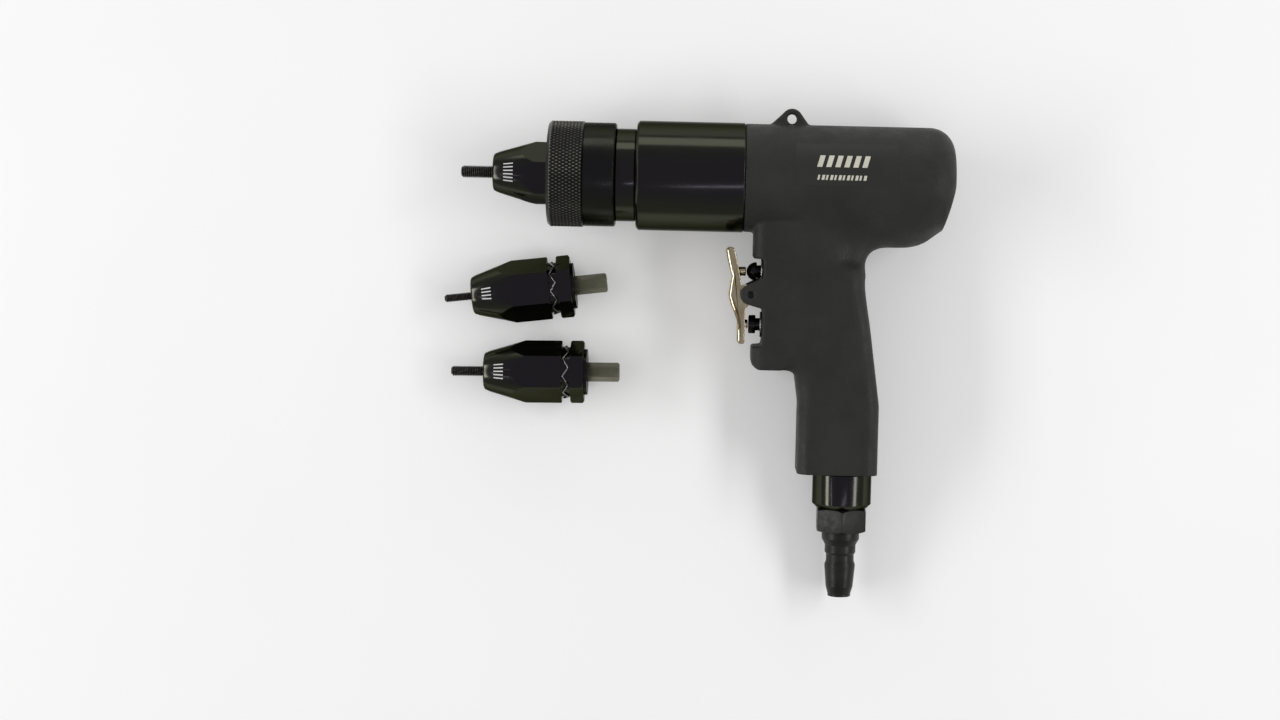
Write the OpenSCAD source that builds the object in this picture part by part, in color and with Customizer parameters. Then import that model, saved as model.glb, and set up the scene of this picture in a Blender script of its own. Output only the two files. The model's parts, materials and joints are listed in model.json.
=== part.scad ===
// Pneumatic rivet nut gun, lying on its side on a bench beside two spare noses.
//
// The gun is drawn in its own frame: X runs along the barrel towards the rear, with 0 at the
// housing's front face, Y runs from the grip's foot up to the hanging lug, and Z is sideways.
// lay() then rests it on the bench, so that the barrel and the foot of the grip touch Z = 0.
// Each nose is drawn in its own frame, with X = 0 at its front face and the drive end at +X.

/* [Barrel] */
// Diameter of the gear case, the widest part of the barrel
case_d = 52; // [48:0.5:70]
// Length of the gear case in front of the housing
case_len = 51.4; // [48:0.2:70]
// Diameter of the housing around the motor
housing_d = 51.4; // [48:0.2:70]
// Length of the housing along the barrel
housing_len = 99.3; // [98:0.1:125]
// Diameter of the neck between the collar and the gear case
neck_d = 44; // [40:0.5:47]
// Length of the neck that shows when the collar is forward
neck_len = 10; // [9.2:0.1:14]
// Diameter of the knurled front half of the quick change collar
collar_d = 50.2; // [48:0.2:60]
// Length of the quick change collar
collar_len = 31.9; // [31:0.1:40]
// How far the collar slides back to free the nose
collar_travel = 8; // [5:0.5:8.5]

/* [Grip] */
// Width of the grip from side to side
grip_w = 34; // [31:1:42]
// Depth of the grip from front to rear at its foot
grip_depth = 38.3; // [37:0.1:48]
// Distance from the barrel axis down to the foot of the grip
grip_drop = 139.6; // [130:0.2:175]
// Distance of the grip's front edge behind the housing's front face
grip_front = 27.7; // [24:0.1:30]
// Width of the valve block above the grip
block_w = 32; // [30:1:40]
// Distance of the valve block's front behind the housing's front face
block_front = 4.6; // [3:0.1:7]
// Distance from the barrel axis down to the underside of the valve block
block_drop = 90.6; // [86:0.2:105]
// Radius of the keel under the rear of the barrel
keel_r = 20; // [17:0.5:23]
// Thickness of the hanging lug
lug_t = 6; // [4:0.5:12]
// Diameter of the hole in the hanging lug
lug_hole_d = 4.7; // [3:0.1:6]

/* [Trigger] */
// Distance from the barrel axis down to the trigger's pivot
pivot_drop = 55.1; // [53:0.1:60]
// Distance of the trigger's pivot behind the housing's front face
pivot_back = 3.9; // [3.5:0.1:5]
// Diameter of the trigger's pivot pin
pivot_pin_d = 3; // [2:0.1:4]
// Width of the rocker trigger
trigger_w = 18; // [14:0.5:20]
// How far the trigger rocks each way, in degrees
trigger_rock = 6; // [4:0.5:6]
// Height of the forward button above the pivot
forward_rise = 10.7; // [9.5:0.1:11]
// Depth of the reverse button below the pivot
reverse_fall = 14.5; // [13:0.1:15]
// Diameter of the valve stems
stem_d = 6; // [4:0.1:7]
// Diameter of the buttons on the valve stems
button_d = 8.8; // [7:0.1:9.5]

/* [Air inlet] */
// Distance of the inlet's axis behind the housing's front face
inlet_back = 50; // [48:0.2:52]
// Diameter of the exhaust sleeve at the foot of the grip
sleeve_d = 28.3; // [26:0.1:31]
// Length of the exhaust sleeve
sleeve_len = 17; // [12:0.5:25]
// Width across the flats of the hex adapter
adapter_af = 23; // [19:0.5:27]
// Length of the hex adapter's body
adapter_len = 11; // [8:0.5:18]
// Length of the air plug below the adapter
plug_len = 31.5; // [28:0.5:40]
// Diameter of the air plug's sealing barrel
plug_d = 14.8; // [12:0.1:17]
// Diameter of the air passage through the plug
air_bore_d = 6; // [4:0.5:7]

/* [Noses] */
// Width across the flats of every nose
nose_af = 26; // [24:0.2:28]
// Diameter of a nose's front face
nose_face_d = 18; // [14:0.5:20]
// Half angle of the cone at the front of a nose
nose_cone_angle = 16.6; // [14:0.2:22]
// Distance from the front face to the clip groove
nose_groove_from = 37.6; // [36:0.2:44]
// Width of the clip groove
nose_groove_w = 4.15; // [4.1:0.05:5]
// Diameter at the bottom of the clip groove
nose_groove_d = 24; // [23:0.2:24.4]
// Length of the hex flange behind the clip groove
nose_flange_len = 6.6; // [5:0.2:9]
// Diameter of the round boss at the rear of a nose
nose_boss_d = 22; // [19:0.5:24]
// Length of the round boss
nose_boss_len = 1.4; // [1:0.1:2.4]
// Width across the flats of the drive hex
drive_af = 8; // [6:0.1:9]
// Length of the drive hex
drive_len = 15.4; // [12:0.2:16]
// Thread sizes of the mounted, second and third mandrels
mandrel_d = [6, 5, 4]; // [3:1:8]
// How far each mandrel's thread stands out of its nose
mandrel_out = [15.3, 15.8, 13.4]; // [10:0.1:20]
// Turn of the mounted nose about the barrel, in degrees
nose_turn = 10.5; // [0:0.5:30]

/* [Motor and gears] */
// Diameter of the motor bore in the housing
motor_bore_d = 45; // [44:0.2:46]
// Length of the stator
stator_len = 50; // [40:1:50]
// Diameter of the rotor
rotor_d = 30; // [26:0.5:31]
// Offset of the stator's bore from the rotor's axis
stator_offset = 2.2; // [1:0.1:2.4]
// Number of vanes in the rotor
vane_count = 5; // [4:1:7]
// Thickness of a vane
vane_t = 1.5; // [1:0.1:2]
// Gear module of both planetary stages
gear_module = 0.8; // [0.7:0.01:0.82]
// Teeth on each sun gear
sun_teeth = 12; // [12:6:12]
// Teeth on each planet gear
planet_teeth = 15; // [15:1:15]
// Face width of the planet gears
gear_w = 10.5; // [8:0.5:11]

/* [Fits] */
// Radial clearance of a running or sliding fit
running_gap = 0.05; // [0.02:0.01:0.09]
// Radial clearance of a fixed fit
fixed_gap = 0.05; // [0.02:0.01:0.06]
// Clearance between pieces that pass each other
passing_gap = 0.3; // [0.2:0.05:0.5]

/* [Resting place] */
// Front face of the second nose on the bench, from the housing's front face
second_nose_at = [-123.2, -94.9]; // [-140:0.1:-50]
// Heading of the second nose, in degrees
second_nose_heading = 0.8; // [-20:0.1:20]
// Front face of the third nose on the bench, from the housing's front face
third_nose_at = [-129.7, -58.8]; // [-140:0.1:-50]
// Heading of the third nose, in degrees
third_nose_heading = 7; // [-20:0.1:20]

/* [Hidden] */

$fn = 72;
// Overshoot that keeps a cutting tool's face off the face that it cuts
cut = 1;

// Radii of the barrel
case_r = case_d / 2;
housing_r = housing_d / 2;
neck_r = neck_d / 2;
collar_r = collar_d / 2;
collar_rear_r = collar_r - 0.5;
motor_bore_r = motor_bore_d / 2;

// Stations along the barrel, from the gear case towards the nose
case_front = -case_len;
neck_front = case_front - neck_len;
collar_rear = neck_front;
collar_front = collar_rear - collar_len;
collar_mid = collar_rear - 15.3;

// Nose: lengths along its own axis, and the seat that it has in the front barrel
nose_r = nose_af / 2;
nose_corner_r = nose_r / cos(30);
nose_flange_from = nose_groove_from + nose_groove_w;
nose_rear = nose_flange_from + nose_flange_len;
boss_rear = nose_rear + nose_boss_len;
cavity_r = 8.2;
cavity_from = 20;
thrust_len = 4;
mandrel_flange_r = 7.4;
mandrel_flange_len = 4;
mandrel_shank_r = 5.2;
// The mounted nose shows this much of its full hexagon and cone in front of the collar
nose_show = 26.3;
nose_at = collar_front - nose_show;
nose_groove_mid = nose_at + nose_groove_from + nose_groove_w / 2;
nose_seat = nose_at + nose_rear + 0.2;
boss_seat = nose_at + boss_rear + 0.3;

// Quick change coupling
tube_r = nose_corner_r + 2.2;
tube_front = collar_front + 1;
ball_r = nose_groove_w / 2 - 0.07;
ball_at_r = nose_groove_d / 2 + 0.95 + ball_r;
ridge_r = tube_r + 0.1;
ridge_front = nose_groove_mid - 2.7;
ridge_rear = nose_groove_mid + 3.4;
ring_w = 1.2;
ring_r = tube_r + 1.4;
recess_r = ring_r + 0.7;
pocket_r = neck_r + passing_gap;
collar_wire_r = 1;
collar_spring_r = (tube_r + pocket_r) / 2;

// Gears: pitch radii, stations of the two stages and the ring that they share
sun_pitch_r = gear_module * sun_teeth / 2;
planet_pitch_r = gear_module * planet_teeth / 2;
planet_orbit_r = sun_pitch_r + planet_pitch_r;
ring_teeth = sun_teeth + 2 * planet_teeth;
ring_pitch_r = gear_module * ring_teeth / 2;
ring_outer_r = ring_pitch_r + 2.7;
pressure_angle = 20;
carrier_disc_t = 4;
carrier_r = ring_pitch_r - 1.6;
planet_pin_r = 2;
first_stage_rear = 8;
first_stage_front = first_stage_rear - gear_w;
first_disc_front = first_stage_front - 0.4 - carrier_disc_t;
second_stage_rear = first_disc_front - 0.8;
second_stage_front = second_stage_rear - gear_w;
second_disc_front = second_stage_front - 0.4 - carrier_disc_t;
ring_rear = first_stage_rear + 2;
ring_front = second_disc_front + 2;

// Output spindle and its two bearings
spindle_r = 7.5;
spindle_bearing_r = 16;
spindle_bearing_w = 9;
spigot_len = 5.4;
second_bearing_front = case_front + spigot_len;
first_bearing_front = second_bearing_front + spindle_bearing_w;
bearing_seat_rear = first_bearing_front + spindle_bearing_w;
spindle_front = boss_seat + 0.2;
socket_af = drive_af + 0.2;
spigot_r = ring_outer_r + 0.2;

// Motor: stations from its front plate to its rear plate, and its two bearings
plate_len = 10;
front_plate_from = ring_rear + 1.8;
stator_from = front_plate_from + plate_len;
stator_to = stator_from + stator_len;
rear_plate_to = stator_to + plate_len;
stator_r = motor_bore_r - fixed_gap;
stator_bore_r = rotor_d / 2 + stator_offset + passing_gap;
rotor_r = rotor_d / 2;
rotor_bearing_r = 13;
rotor_bearing_w = 8;
rotor_shaft_r = 5;
bearing_shoulder = 1.8;
front_bearing_from = stator_from - bearing_shoulder - rotor_bearing_w;
rear_bearing_from = stator_to + bearing_shoulder;

// Grip, valve block, web and keel
grip_half = grip_w / 2;
block_half = block_w / 2;
grip_rear = grip_front + grip_depth;
grip_corner_r = 6;
grip_lean = 8;
grip_bend = block_drop + 16;
grip_top = housing_r + 14;
keel_at = [housing_len - 22.8, -(housing_r + 6.1 - keel_r)];
web_r = 8.2;
web_at = [grip_rear - 0.4, keel_at[1] - keel_r - web_r];
recess_floor = block_front + 5;
lug_r = 5;
lug_at = [21.7, housing_r + 2.6];

// Trigger and valves
ear_r = 4.9;
ear_inner = trigger_w / 2 + passing_gap;
pivot_pin_r = pivot_pin_d / 2;
pivot = [pivot_back, -pivot_drop];
button_r = button_d / 2;
pad_r = 2.2;
stem_r = stem_d / 2;
bush_flange_t = 1;
bush_r = stem_r + 2;
bush_flange_r = bush_r + 1;
recess_top = pivot_drop - forward_rise - bush_flange_r - passing_gap;
recess_bottom = pivot_drop + 24.4;
bush_to = recess_floor + 7.4;
spool_bore_r = stem_r + 1.2;
spool_r = spool_bore_r - running_gap;
spool_from = bush_to + 2.6;
spool_to = spool_from + 11;
spring_to = spool_to + 8;
seal_stations = [spool_from + 1.6, spool_to - 1.6];
ball_steps = 12;
button_rear = recess_floor - bush_flange_t - 2;
forward_tip = pivot_back - 2.1;
reverse_tip = pivot_back - 0.7;

// Air inlet stations, measured down from the barrel axis
sleeve_to = grip_drop + 0.4 + sleeve_len;
adapter_to = sleeve_to + adapter_len;
plug_to = adapter_to + plug_len;
sleeve_r = sleeve_d / 2;
spigot_up = 18;
sleeve_spigot_r = 9;
adapter_spigot_r = 7;
plug_spigot_r = 5.5;
muffler_r = 13;
muffler_len = 14;
air_r = air_bore_d / 2;
plug_r = plug_d / 2;
plug_end_r = plug_r - 1.9;

// Resting place: the gun tips until the barrel and the foot of the grip both touch the bench
lie_angle = asin(case_r / norm([grip_drop, grip_half])) - atan2(grip_half, grip_drop);
tip_chamfer = 0.5;
nose_tip_r = mandrel_d[2] / 2 - tip_chamfer;
low_x = third_nose_at[0] - mandrel_out[2] * cos(third_nose_heading)
    - nose_tip_r * sin(third_nose_heading);
low_y = -plug_to * cos(lie_angle) - plug_end_r * sin(lie_angle);
high_y = (lug_at[1] + lug_r) * cos(lie_angle) + lug_t / 2 * sin(lie_angle);
middle = [(low_x + housing_len) / 2, (low_y + high_y) / 2];

// Colours
textured_black = [0.17, 0.17, 0.165];
gloss_black = [0.03, 0.03, 0.035];
dark_oxide = [0.09, 0.09, 0.1];
bright_steel = [0.75, 0.75, 0.73];
olive_steel = [0.45, 0.45, 0.36];
spring_steel = [0.5, 0.5, 0.5];
rubber_black = [0.06, 0.06, 0.06];
bronze = [0.6, 0.45, 0.25];

// ---------- Placing ----------

// Rests the gun on the bench
module lay() {
    translate([-middle[0], -middle[1], case_r])
        rotate([lie_angle, 0, 0])
            children();
}

// Puts a nose in the front barrel
module mounted() {
    lay()
        translate([nose_at, 0, 0])
            rotate([nose_turn, 0, 0])
                children();
}

// Lays a nose on one flat on the bench
module on_bench(at, heading) {
    translate([at[0] - middle[0], at[1] - middle[1], nose_r])
        rotate([0, 0, heading])
            children();
}

// ---------- Shapes ----------

// Solid of revolution about X from [radius, x] points
module turned(points) {
    rotate([0, 90, 0])
        rotate_extrude()
            polygon(points);
}

// Rod along X
module rod(r, from, to) {
    translate([from, 0, 0])
        rotate([0, 90, 0])
            cylinder(r = r, h = to - from);
}

// Tube along X
module tube(outer_r, inner_r, from, to) {
    difference() {
        rod(outer_r, from, to);
        rod(inner_r, from - cut, to + cut);
    }
}

// Hexagonal bar along X with a flat facing down
module hex_bar(af, from, to) {
    translate([from, 0, 0])
        rotate([0, 90, 0])
            rotate([0, 0, 30])
                cylinder(r = af / 2 / cos(30), h = to - from, $fn = 6);
}

// Rod that hangs down along Y from one depth to another
module drop_rod(r, at_x, from, to, at_z = 0) {
    translate([at_x, -from, at_z])
        rotate([90, 0, 0])
            cylinder(r = r, h = to - from);
}

// Rod across the gun along Z
module cross_rod(r, at, from, to) {
    translate([at[0], at[1], from])
        cylinder(r = r, h = to - from);
}

// Rectangle with round corners, from x = from to x = to
module round_slab(from, to, half, r) {
    translate([from + r, -half])
        square([to - from - 2 * r, 2 * half]);
    translate([from, r - half])
        square([to - from, 2 * half - 2 * r]);
    for (x = [from + r, to - r], z = [-1, 1])
        translate([x, z * (half - r)])
            circle(r = r);
}

// Upright prism with round corners, hanging down along Y
module grip_prism(from, to, half, r, top, bottom) {
    translate([0, -top, 0])
        rotate([90, 0, 0])
            linear_extrude(bottom - top)
                round_slab(from, to, half, r);
}

// Ring of round wire about X, open over some degrees
module wire_ring(ring_r, wire_r, at, open = 0) {
    translate([at, 0, 0])
        rotate([0, 90, 0])
            rotate_extrude(angle = 360 - open)
                translate([ring_r, 0])
                    circle(r = wire_r, $fn = 24);
}

// Coil spring along X
module coil(ring_r, wire_r, from, to, turns) {
    per_turn = 20;
    sides = 8;
    steps = turns * per_turn;
    pitch = (to - from - 2 * wire_r) / steps;
    points = [
        for (i = [0 : steps], k = [0 : sides - 1])
            let (a = i * 360 / per_turn, b = k * 360 / sides, r = ring_r + wire_r * cos(b))
                [from + wire_r + i * pitch + wire_r * sin(b), r * cos(a), r * sin(a)]
    ];
    walls = [
        for (i = [0 : steps - 1], k = [0 : sides - 1], upper = [0, 1])
            let (a = i * sides + k, b = i * sides + (k + 1) % sides)
                upper == 0 ? [a, b, a + sides] : [b, b + sides, a + sides]
    ];
    caps = [
        [for (k = [sides - 1 : -1 : 0]) k],
        [for (k = [0 : sides - 1]) steps * sides + k]
    ];
    polyhedron(points = points, faces = concat(walls, caps), convexity = 8);
}

// Ball bearing on the X axis: two rings and the balls between them
module ball_bearing(outer_r, bore_r, width, from, balls) {
    track_r = (outer_r + bore_r) / 2;
    rolling_r = (outer_r - bore_r) * 0.24;
    ring_t = (outer_r - bore_r) * 0.3;
    difference() {
        union() {
            tube(outer_r, outer_r - ring_t, from, from + width);
            tube(bore_r + ring_t, bore_r, from, from + width);
        }
        wire_ring(track_r, rolling_r + 0.03, from + width / 2);
    }
    for (i = [0 : balls - 1])
        rotate([i * 360 / balls, 0, 0])
            translate([from + width / 2, track_r, 0])
                sphere(r = rolling_r, $fn = 24);
}

// ---------- Gears ----------

// Polar angle of an involute at the radius r, for the base radius b
function involute(r, b) = sqrt(max(0, pow(r / b, 2) - 1)) * 180 / PI - acos(min(1, b / r));

// Half the angle of a tooth at the radius r
function half_tooth(r, teeth, base_r, pitch_r, thin) =
    90 / teeth - thin / pitch_r * 180 / PI / 2
    + involute(pitch_r, base_r) - involute(max(r, base_r), base_r);

// Outline of a gear with a tooth centred on the X axis
module gear_outline(teeth, thin, tip_r, root_r) {
    pitch_r = gear_module * teeth / 2;
    base_r = pitch_r * cos(pressure_angle);
    flank = [for (i = [0 : 3]) root_r + (tip_r - root_r) * i / 3];
    polygon([
        for (t = [0 : teeth - 1], side = [-1, 1], i = [0 : 3])
            let (r = flank[side < 0 ? i : 3 - i],
                a = t * 360 / teeth + side * half_tooth(r, teeth, base_r, pitch_r, thin))
                [r * cos(a), r * sin(a)]
    ]);
}

// External gear on the X axis with a tooth centred on +Y
module gear(teeth, from, width) {
    pitch_r = gear_module * teeth / 2;
    translate([from, 0, 0])
        rotate([90, 0, 90])
            linear_extrude(width)
                gear_outline(teeth, 0.16, pitch_r + 0.92 * gear_module, pitch_r - 1.25 * gear_module);
}

// Planet gear on its pin, at a place around the sun
module planet(from, angle) {
    rotate([angle, 0, 0])
        translate([0, planet_orbit_r, 0])
            rotate([-angle, 0, 0])
                difference() {
                    gear(planet_teeth, from, gear_w);
                    rod(planet_pin_r + running_gap, from - cut, from + gear_w + cut);
                }
}

// Disc in front of a stage, with the pins that its planets turn on
module carrier(disc_front, stage_rear) {
    rod(carrier_r, disc_front, disc_front + carrier_disc_t);
    for (angle = [0, 120, 240])
        rotate([angle, 0, 0])
            translate([0, planet_orbit_r, 0])
                rod(planet_pin_r, disc_front + carrier_disc_t - cut, stage_rear + 0.4);
}

// ---------- Housing and barrel ----------

// Motor barrel of the housing, with its round rear corner and slanted lower rear
module housing_barrel() {
    corner_r = 12;
    rear_edge = [
        for (a = [0 : 10 : 90])
            [housing_r - corner_r + corner_r * cos(a), housing_len - corner_r + corner_r * sin(a)]
    ];
    difference() {
        turned(concat([[0, 0], [housing_r, 0]], rear_edge, [[0, housing_len]]));
        translate([housing_len, 2, -housing_r - cut])
            rotate([0, 0, 180 - 14])
                translate([-cut, 0, 0])
                    mirror([1, 0, 0])
                        cube([housing_r, 2 * housing_r, housing_d + 2 * cut]);
    }
}

// Keel under the rear of the barrel, which rests on the web of the hand
module keel() {
    translate([0, keel_at[1], 0])
        rod(keel_r, grip_front, keel_at[0]);
    translate([keel_at[0], keel_at[1], 0])
        sphere(r = keel_r);
}

// Hollow curve where the rear of the grip runs into the keel
module web() {
    difference() {
        translate([grip_front, web_at[1] - 6, -block_half + 4])
            cube([web_at[0] - grip_front, web_r + 16, block_w - 8]);
        cross_rod(web_r, web_at, -block_half - cut, block_half + cut);
    }
}

// Valve block with its round front corners and lower edge
module valve_block() {
    edge_r = 4.5;
    difference() {
        grip_prism(block_front, grip_front + 20, block_half, grip_corner_r, housing_r - 8, block_drop);
        difference() {
            translate([block_front - cut, -block_drop - cut, -block_half - cut])
                cube([edge_r + cut, edge_r + cut, block_w + 2 * cut]);
            cross_rod(edge_r, [block_front + edge_r, -block_drop + edge_r],
                -block_half - 2 * cut, block_half + 2 * cut);
        }
    }
}

// Hand grip: one skin over three equal sections, upright at the foot and leaning above
module grip() {
    lean = tan(grip_lean) * (grip_bend - grip_top);
    corner = [for (a = [0 : 15 : 90]) grip_corner_r * [cos(a), sin(a)]];
    half = [grip_depth / 2 - grip_corner_r, grip_half - grip_corner_r];
    // Round corners, one after the other about the section's middle
    section = [
        for (q = [0 : 3], c = corner)
            let (sx = q == 0 || q == 3 ? 1 : -1, sz = q < 2 ? 1 : -1, d = q % 2 == 0 ? c : [c[1], c[0]])
                [sx * (half[0] + d[0]), sz * (half[1] + d[1])]
    ];
    count = len(section);
    middle_x = (grip_front + grip_rear) / 2;
    stations = [[middle_x, -grip_drop], [middle_x, -grip_bend], [middle_x - lean, -grip_top]];
    points = [for (at = stations, c = section) [at[0] + c[0], at[1], c[1]]];
    walls = [
        for (i = [0, 1], k = [0 : count - 1])
            [i * count + k, i * count + (k + 1) % count,
                (i + 1) * count + (k + 1) % count, (i + 1) * count + k]
    ];
    caps = [[for (k = [count - 1 : -1 : 0]) k], [for (k = [0 : count - 1]) 2 * count + k]];
    polyhedron(points = points, faces = concat(walls, caps), convexity = 4);
}

// Ears that hold the trigger's pin
module ears() {
    for (side = [-1, 1])
        translate([0, 0, side > 0 ? ear_inner : -block_half])
            linear_extrude(block_half - ear_inner) {
                translate(pivot)
                    circle(r = ear_r);
                polygon([
                    pivot + [-1.9, 4.52], [recess_floor + 1, 8.9 - pivot_drop],
                    [recess_floor + 3, 8.9 - pivot_drop], [recess_floor + 3, -6.9 - pivot_drop],
                    [recess_floor + 1, -6.9 - pivot_drop], pivot + [-1.1, -4.77]
                ]);
            }
}

// Hanging lug on top of the barrel
module lug() {
    translate([0, 0, -lug_t / 2])
        linear_extrude(lug_t) {
            translate(lug_at)
                circle(r = lug_r);
            polygon([
                [lug_at[0] - 10.2, housing_r - 2], [lug_at[0] - 10.2, housing_r - 0.3],
                lug_at + [-4.1, 2.8], lug_at + [3.9, 3.1],
                [lug_at[0] + 8.2, housing_r - 0.3], [lug_at[0] + 8.2, housing_r - 2]
            ]);
        }
}

// Air ways inside the housing
module air_ways() {
    forward_y = pivot_drop - forward_rise;
    reverse_y = pivot_drop + reverse_fall;
    feed_x = spool_from + 18;
    way_r = 2.5;
    for (depth = [forward_y, reverse_y]) {
        translate([0, -depth, 0]) {
            rod(bush_r + fixed_gap, recess_floor - cut, bush_to);
            rod(spool_bore_r, bush_to - cut, spring_to);
            rod(way_r, spring_to - cut, feed_x);
        }
    }
    // Feed from the inlet up to both valves
    drop_rod(way_r + 1, feed_x, forward_y, grip_drop - spigot_up + 2);
    // One port from each valve to the motor, and the exhaust down to the muffler
    drop_rod(way_r, spool_from + 3, motor_bore_r - 3, forward_y);
    drop_rod(way_r, spool_from + 8, motor_bore_r - 3, reverse_y, 8);
    translate([0, -reverse_y, 0])
        translate([spool_from + 8, 0, 0])
            cylinder(r = way_r, h = 8);
    drop_rod(way_r + 1, inlet_back - 2, motor_bore_r - 3, grip_drop - muffler_len, -10);
}

module housing() {
    color(textured_black) lay() difference() {
        union() {
            housing_barrel();
            keel();
            web();
            difference() {
                valve_block();
                translate([block_front - cut, -recess_bottom, -block_half - cut])
                    cube([recess_floor - block_front + cut, recess_bottom - recess_top,
                        block_w + 2 * cut]);
            }
            grip();
            ears();
            lug();
        }
        rod(motor_bore_r, -cut, rear_plate_to + 0.2);
        cross_rod(lug_hole_d / 2, lug_at, -lug_t, lug_t);
        cross_rod(pivot_pin_r + fixed_gap, pivot, -block_half - cut, block_half + cut);
        air_ways();
        drop_rod(sleeve_spigot_r + fixed_gap, inlet_back, grip_drop - spigot_up, grip_drop + cut);
        drop_rod(muffler_r + fixed_gap, inlet_back, grip_drop - muffler_len - 0.4, grip_drop + cut);
    }
}

module gear_case() {
    color(gloss_black) lay() difference() {
        union() {
            turned([
                [0, case_front], [case_r - 1, case_front], [case_r, case_front + 1],
                [case_r, -0.6], [case_r - 0.6, 0], [0, 0]
            ]);
            rod(motor_bore_r - fixed_gap, -cut, front_plate_from);
        }
        rod(spigot_r, case_front - cut, second_bearing_front);
        rod(spindle_bearing_r + fixed_gap, case_front, bearing_seat_rear);
        rod(spindle_bearing_r - 2.5, case_front, ring_front);
        rod(carrier_r + 0.5, second_disc_front - 0.5, ring_front + cut);
        rod(ring_outer_r + fixed_gap, ring_front, front_plate_from + cut);
        wire_ring(motor_bore_r, 0.9, 3);
    }
}

module case_seal() {
    color(rubber_black) lay() wire_ring(motor_bore_r - 0.45, 0.38, 3);
}

module front_barrel() {
    color(dark_oxide) lay() difference() {
        union() {
            rod(tube_r, tube_front, neck_front + cut);
            turned([
                [0, neck_front], [neck_r - 0.6, neck_front], [neck_r, neck_front + 0.6],
                [neck_r, case_front], [0, case_front]
            ]);
            rod(spigot_r - fixed_gap, case_front - cut, second_bearing_front - 0.1);
        }
        hex_bar_turned(nose_af + 0.3, tube_front - cut, nose_seat);
        rod(nose_boss_d / 2 + passing_gap, nose_seat - cut, boss_seat);
        rod(spindle_r + 0.7, nose_seat, second_bearing_front + cut);
        lock_ball_places() cylinder(r = ball_r + 0.04, h = tube_r + cut);
        // Groove for the snap ring
        tube(tube_r + cut, tube_r - 0.7, ridge_front - 0.3 - ring_w, ridge_front - 0.1);
    }
}

// Hexagonal bar turned as the mounted nose is
module hex_bar_turned(af, from, to) {
    rotate([nose_turn, 0, 0])
        hex_bar(af, from, to);
}

// Every second corner of the mounted nose's clip groove
module lock_ball_places() {
    for (i = [0 : 2])
        rotate([nose_turn + 30 + i * 120, 0, 0])
            translate([nose_groove_mid, 0, 0])
                children();
}

module snap_ring() {
    color(spring_steel) lay() difference() {
        tube(ring_r, tube_r - 0.58, ridge_front - 0.22 - ring_w, ridge_front - 0.22);
        translate([collar_front, -2, 0])
            cube([collar_len, 4, ring_r + cut]);
    }
}

module lock_balls() {
    color(bright_steel) lay() lock_ball_places()
        translate([0, 0, ball_at_r])
            sphere(r = ball_r, $fn = 32);
}

module collar() {
    color(dark_oxide) lay() turned([
        [recess_r, collar_front], [collar_r - 1.2, collar_front], [collar_r, collar_front + 1.2],
        [collar_r, collar_mid], [collar_rear_r, collar_mid], [collar_rear_r, collar_rear - 0.6],
        [collar_rear_r - 0.6, collar_rear], [pocket_r, collar_rear], [pocket_r, ridge_rear],
        [ridge_r, ridge_rear], [ridge_r, ridge_front], [recess_r, ridge_front]
    ]);
}

module collar_spring() {
    color(spring_steel) lay()
        coil(collar_spring_r, collar_wire_r, ridge_rear + 0.1, neck_front - 0.1, 3);
}

// ---------- Motor and gears ----------

module ring_gear() {
    color(spring_steel) lay() difference() {
        rod(ring_outer_r, ring_front + 0.05, ring_rear);
        translate([ring_front - cut, 0, 0])
            rotate([90, 0, 90])
                rotate([0, 0, 180 / ring_teeth])
                    linear_extrude(ring_rear - ring_front + 2 * cut)
                        ring_hole();
    }
}

// Opening of the ring gear: its gaps are the teeth of this outline
module ring_hole() {
    rotate([0, 0, -180 / ring_teeth])
        gear_outline(ring_teeth, -0.16, ring_pitch_r + 1.2 * gear_module,
            ring_pitch_r - 0.85 * gear_module);
}

module stator() {
    color(spring_steel) lay() difference() {
        rod(stator_r, stator_from, stator_to);
        translate([0, stator_offset, 0])
            rod(stator_bore_r, stator_from - cut, stator_to + cut);
        for (side = [-1, 1])
            rotate([side * 40, 0, 0])
                drop_rod(2.5, (stator_from + stator_to) / 2, rotor_r, motor_bore_r + cut);
    }
}

// Plate that closes one end of the motor, with a pocket for a rotor bearing
module end_plate(from, pocket_from, pocket_to) {
    difference() {
        rod(stator_r, from, from + plate_len);
        rod(rotor_shaft_r + 1.5, from - cut, from + plate_len + cut);
        rod(rotor_bearing_r + fixed_gap, pocket_from, pocket_to);
    }
}

module front_end_plate() {
    color(olive_steel) lay()
        end_plate(front_plate_from, front_plate_from - cut, front_bearing_from + rotor_bearing_w);
}

module rear_end_plate() {
    color(olive_steel) lay() end_plate(stator_to, rear_bearing_from, rear_plate_to + cut);
}

module rotor_bearings() {
    color(bright_steel) lay() for (from = [front_bearing_from, rear_bearing_from])
        ball_bearing(rotor_bearing_r, rotor_shaft_r, rotor_bearing_w, from, 8);
}

module spindle_bearings() {
    color(bright_steel) lay() for (from = [second_bearing_front, first_bearing_front])
        ball_bearing(spindle_bearing_r, spindle_r, spindle_bearing_w, from, 9);
}

// Slots for the vanes, or the vanes themselves
module vane_places(thickness, inner_r, outer_r, from, to) {
    for (i = [0 : vane_count - 1])
        rotate([i * 360 / vane_count, 0, 0])
            translate([from, inner_r, -thickness / 2])
                cube([to - from, outer_r - inner_r, thickness]);
}

module rotor() {
    shaft_r = rotor_shaft_r - running_gap;
    color(olive_steel) lay() {
        difference() {
            rod(rotor_r, stator_from + 0.3, stator_to - 0.3);
            vane_places(vane_t + 0.1, rotor_r - 8.1, rotor_r + cut, stator_from, stator_to);
        }
        rod(shaft_r, front_bearing_from, stator_from + cut);
        rod(shaft_r, stator_to - cut, rear_bearing_from + rotor_bearing_w);
        rod(sun_pitch_r - 1.25 * gear_module, first_stage_rear - cut, front_bearing_from + cut);
        gear(sun_teeth, first_stage_front + 0.2, front_bearing_from - first_stage_front - 0.2);
    }
}

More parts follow.
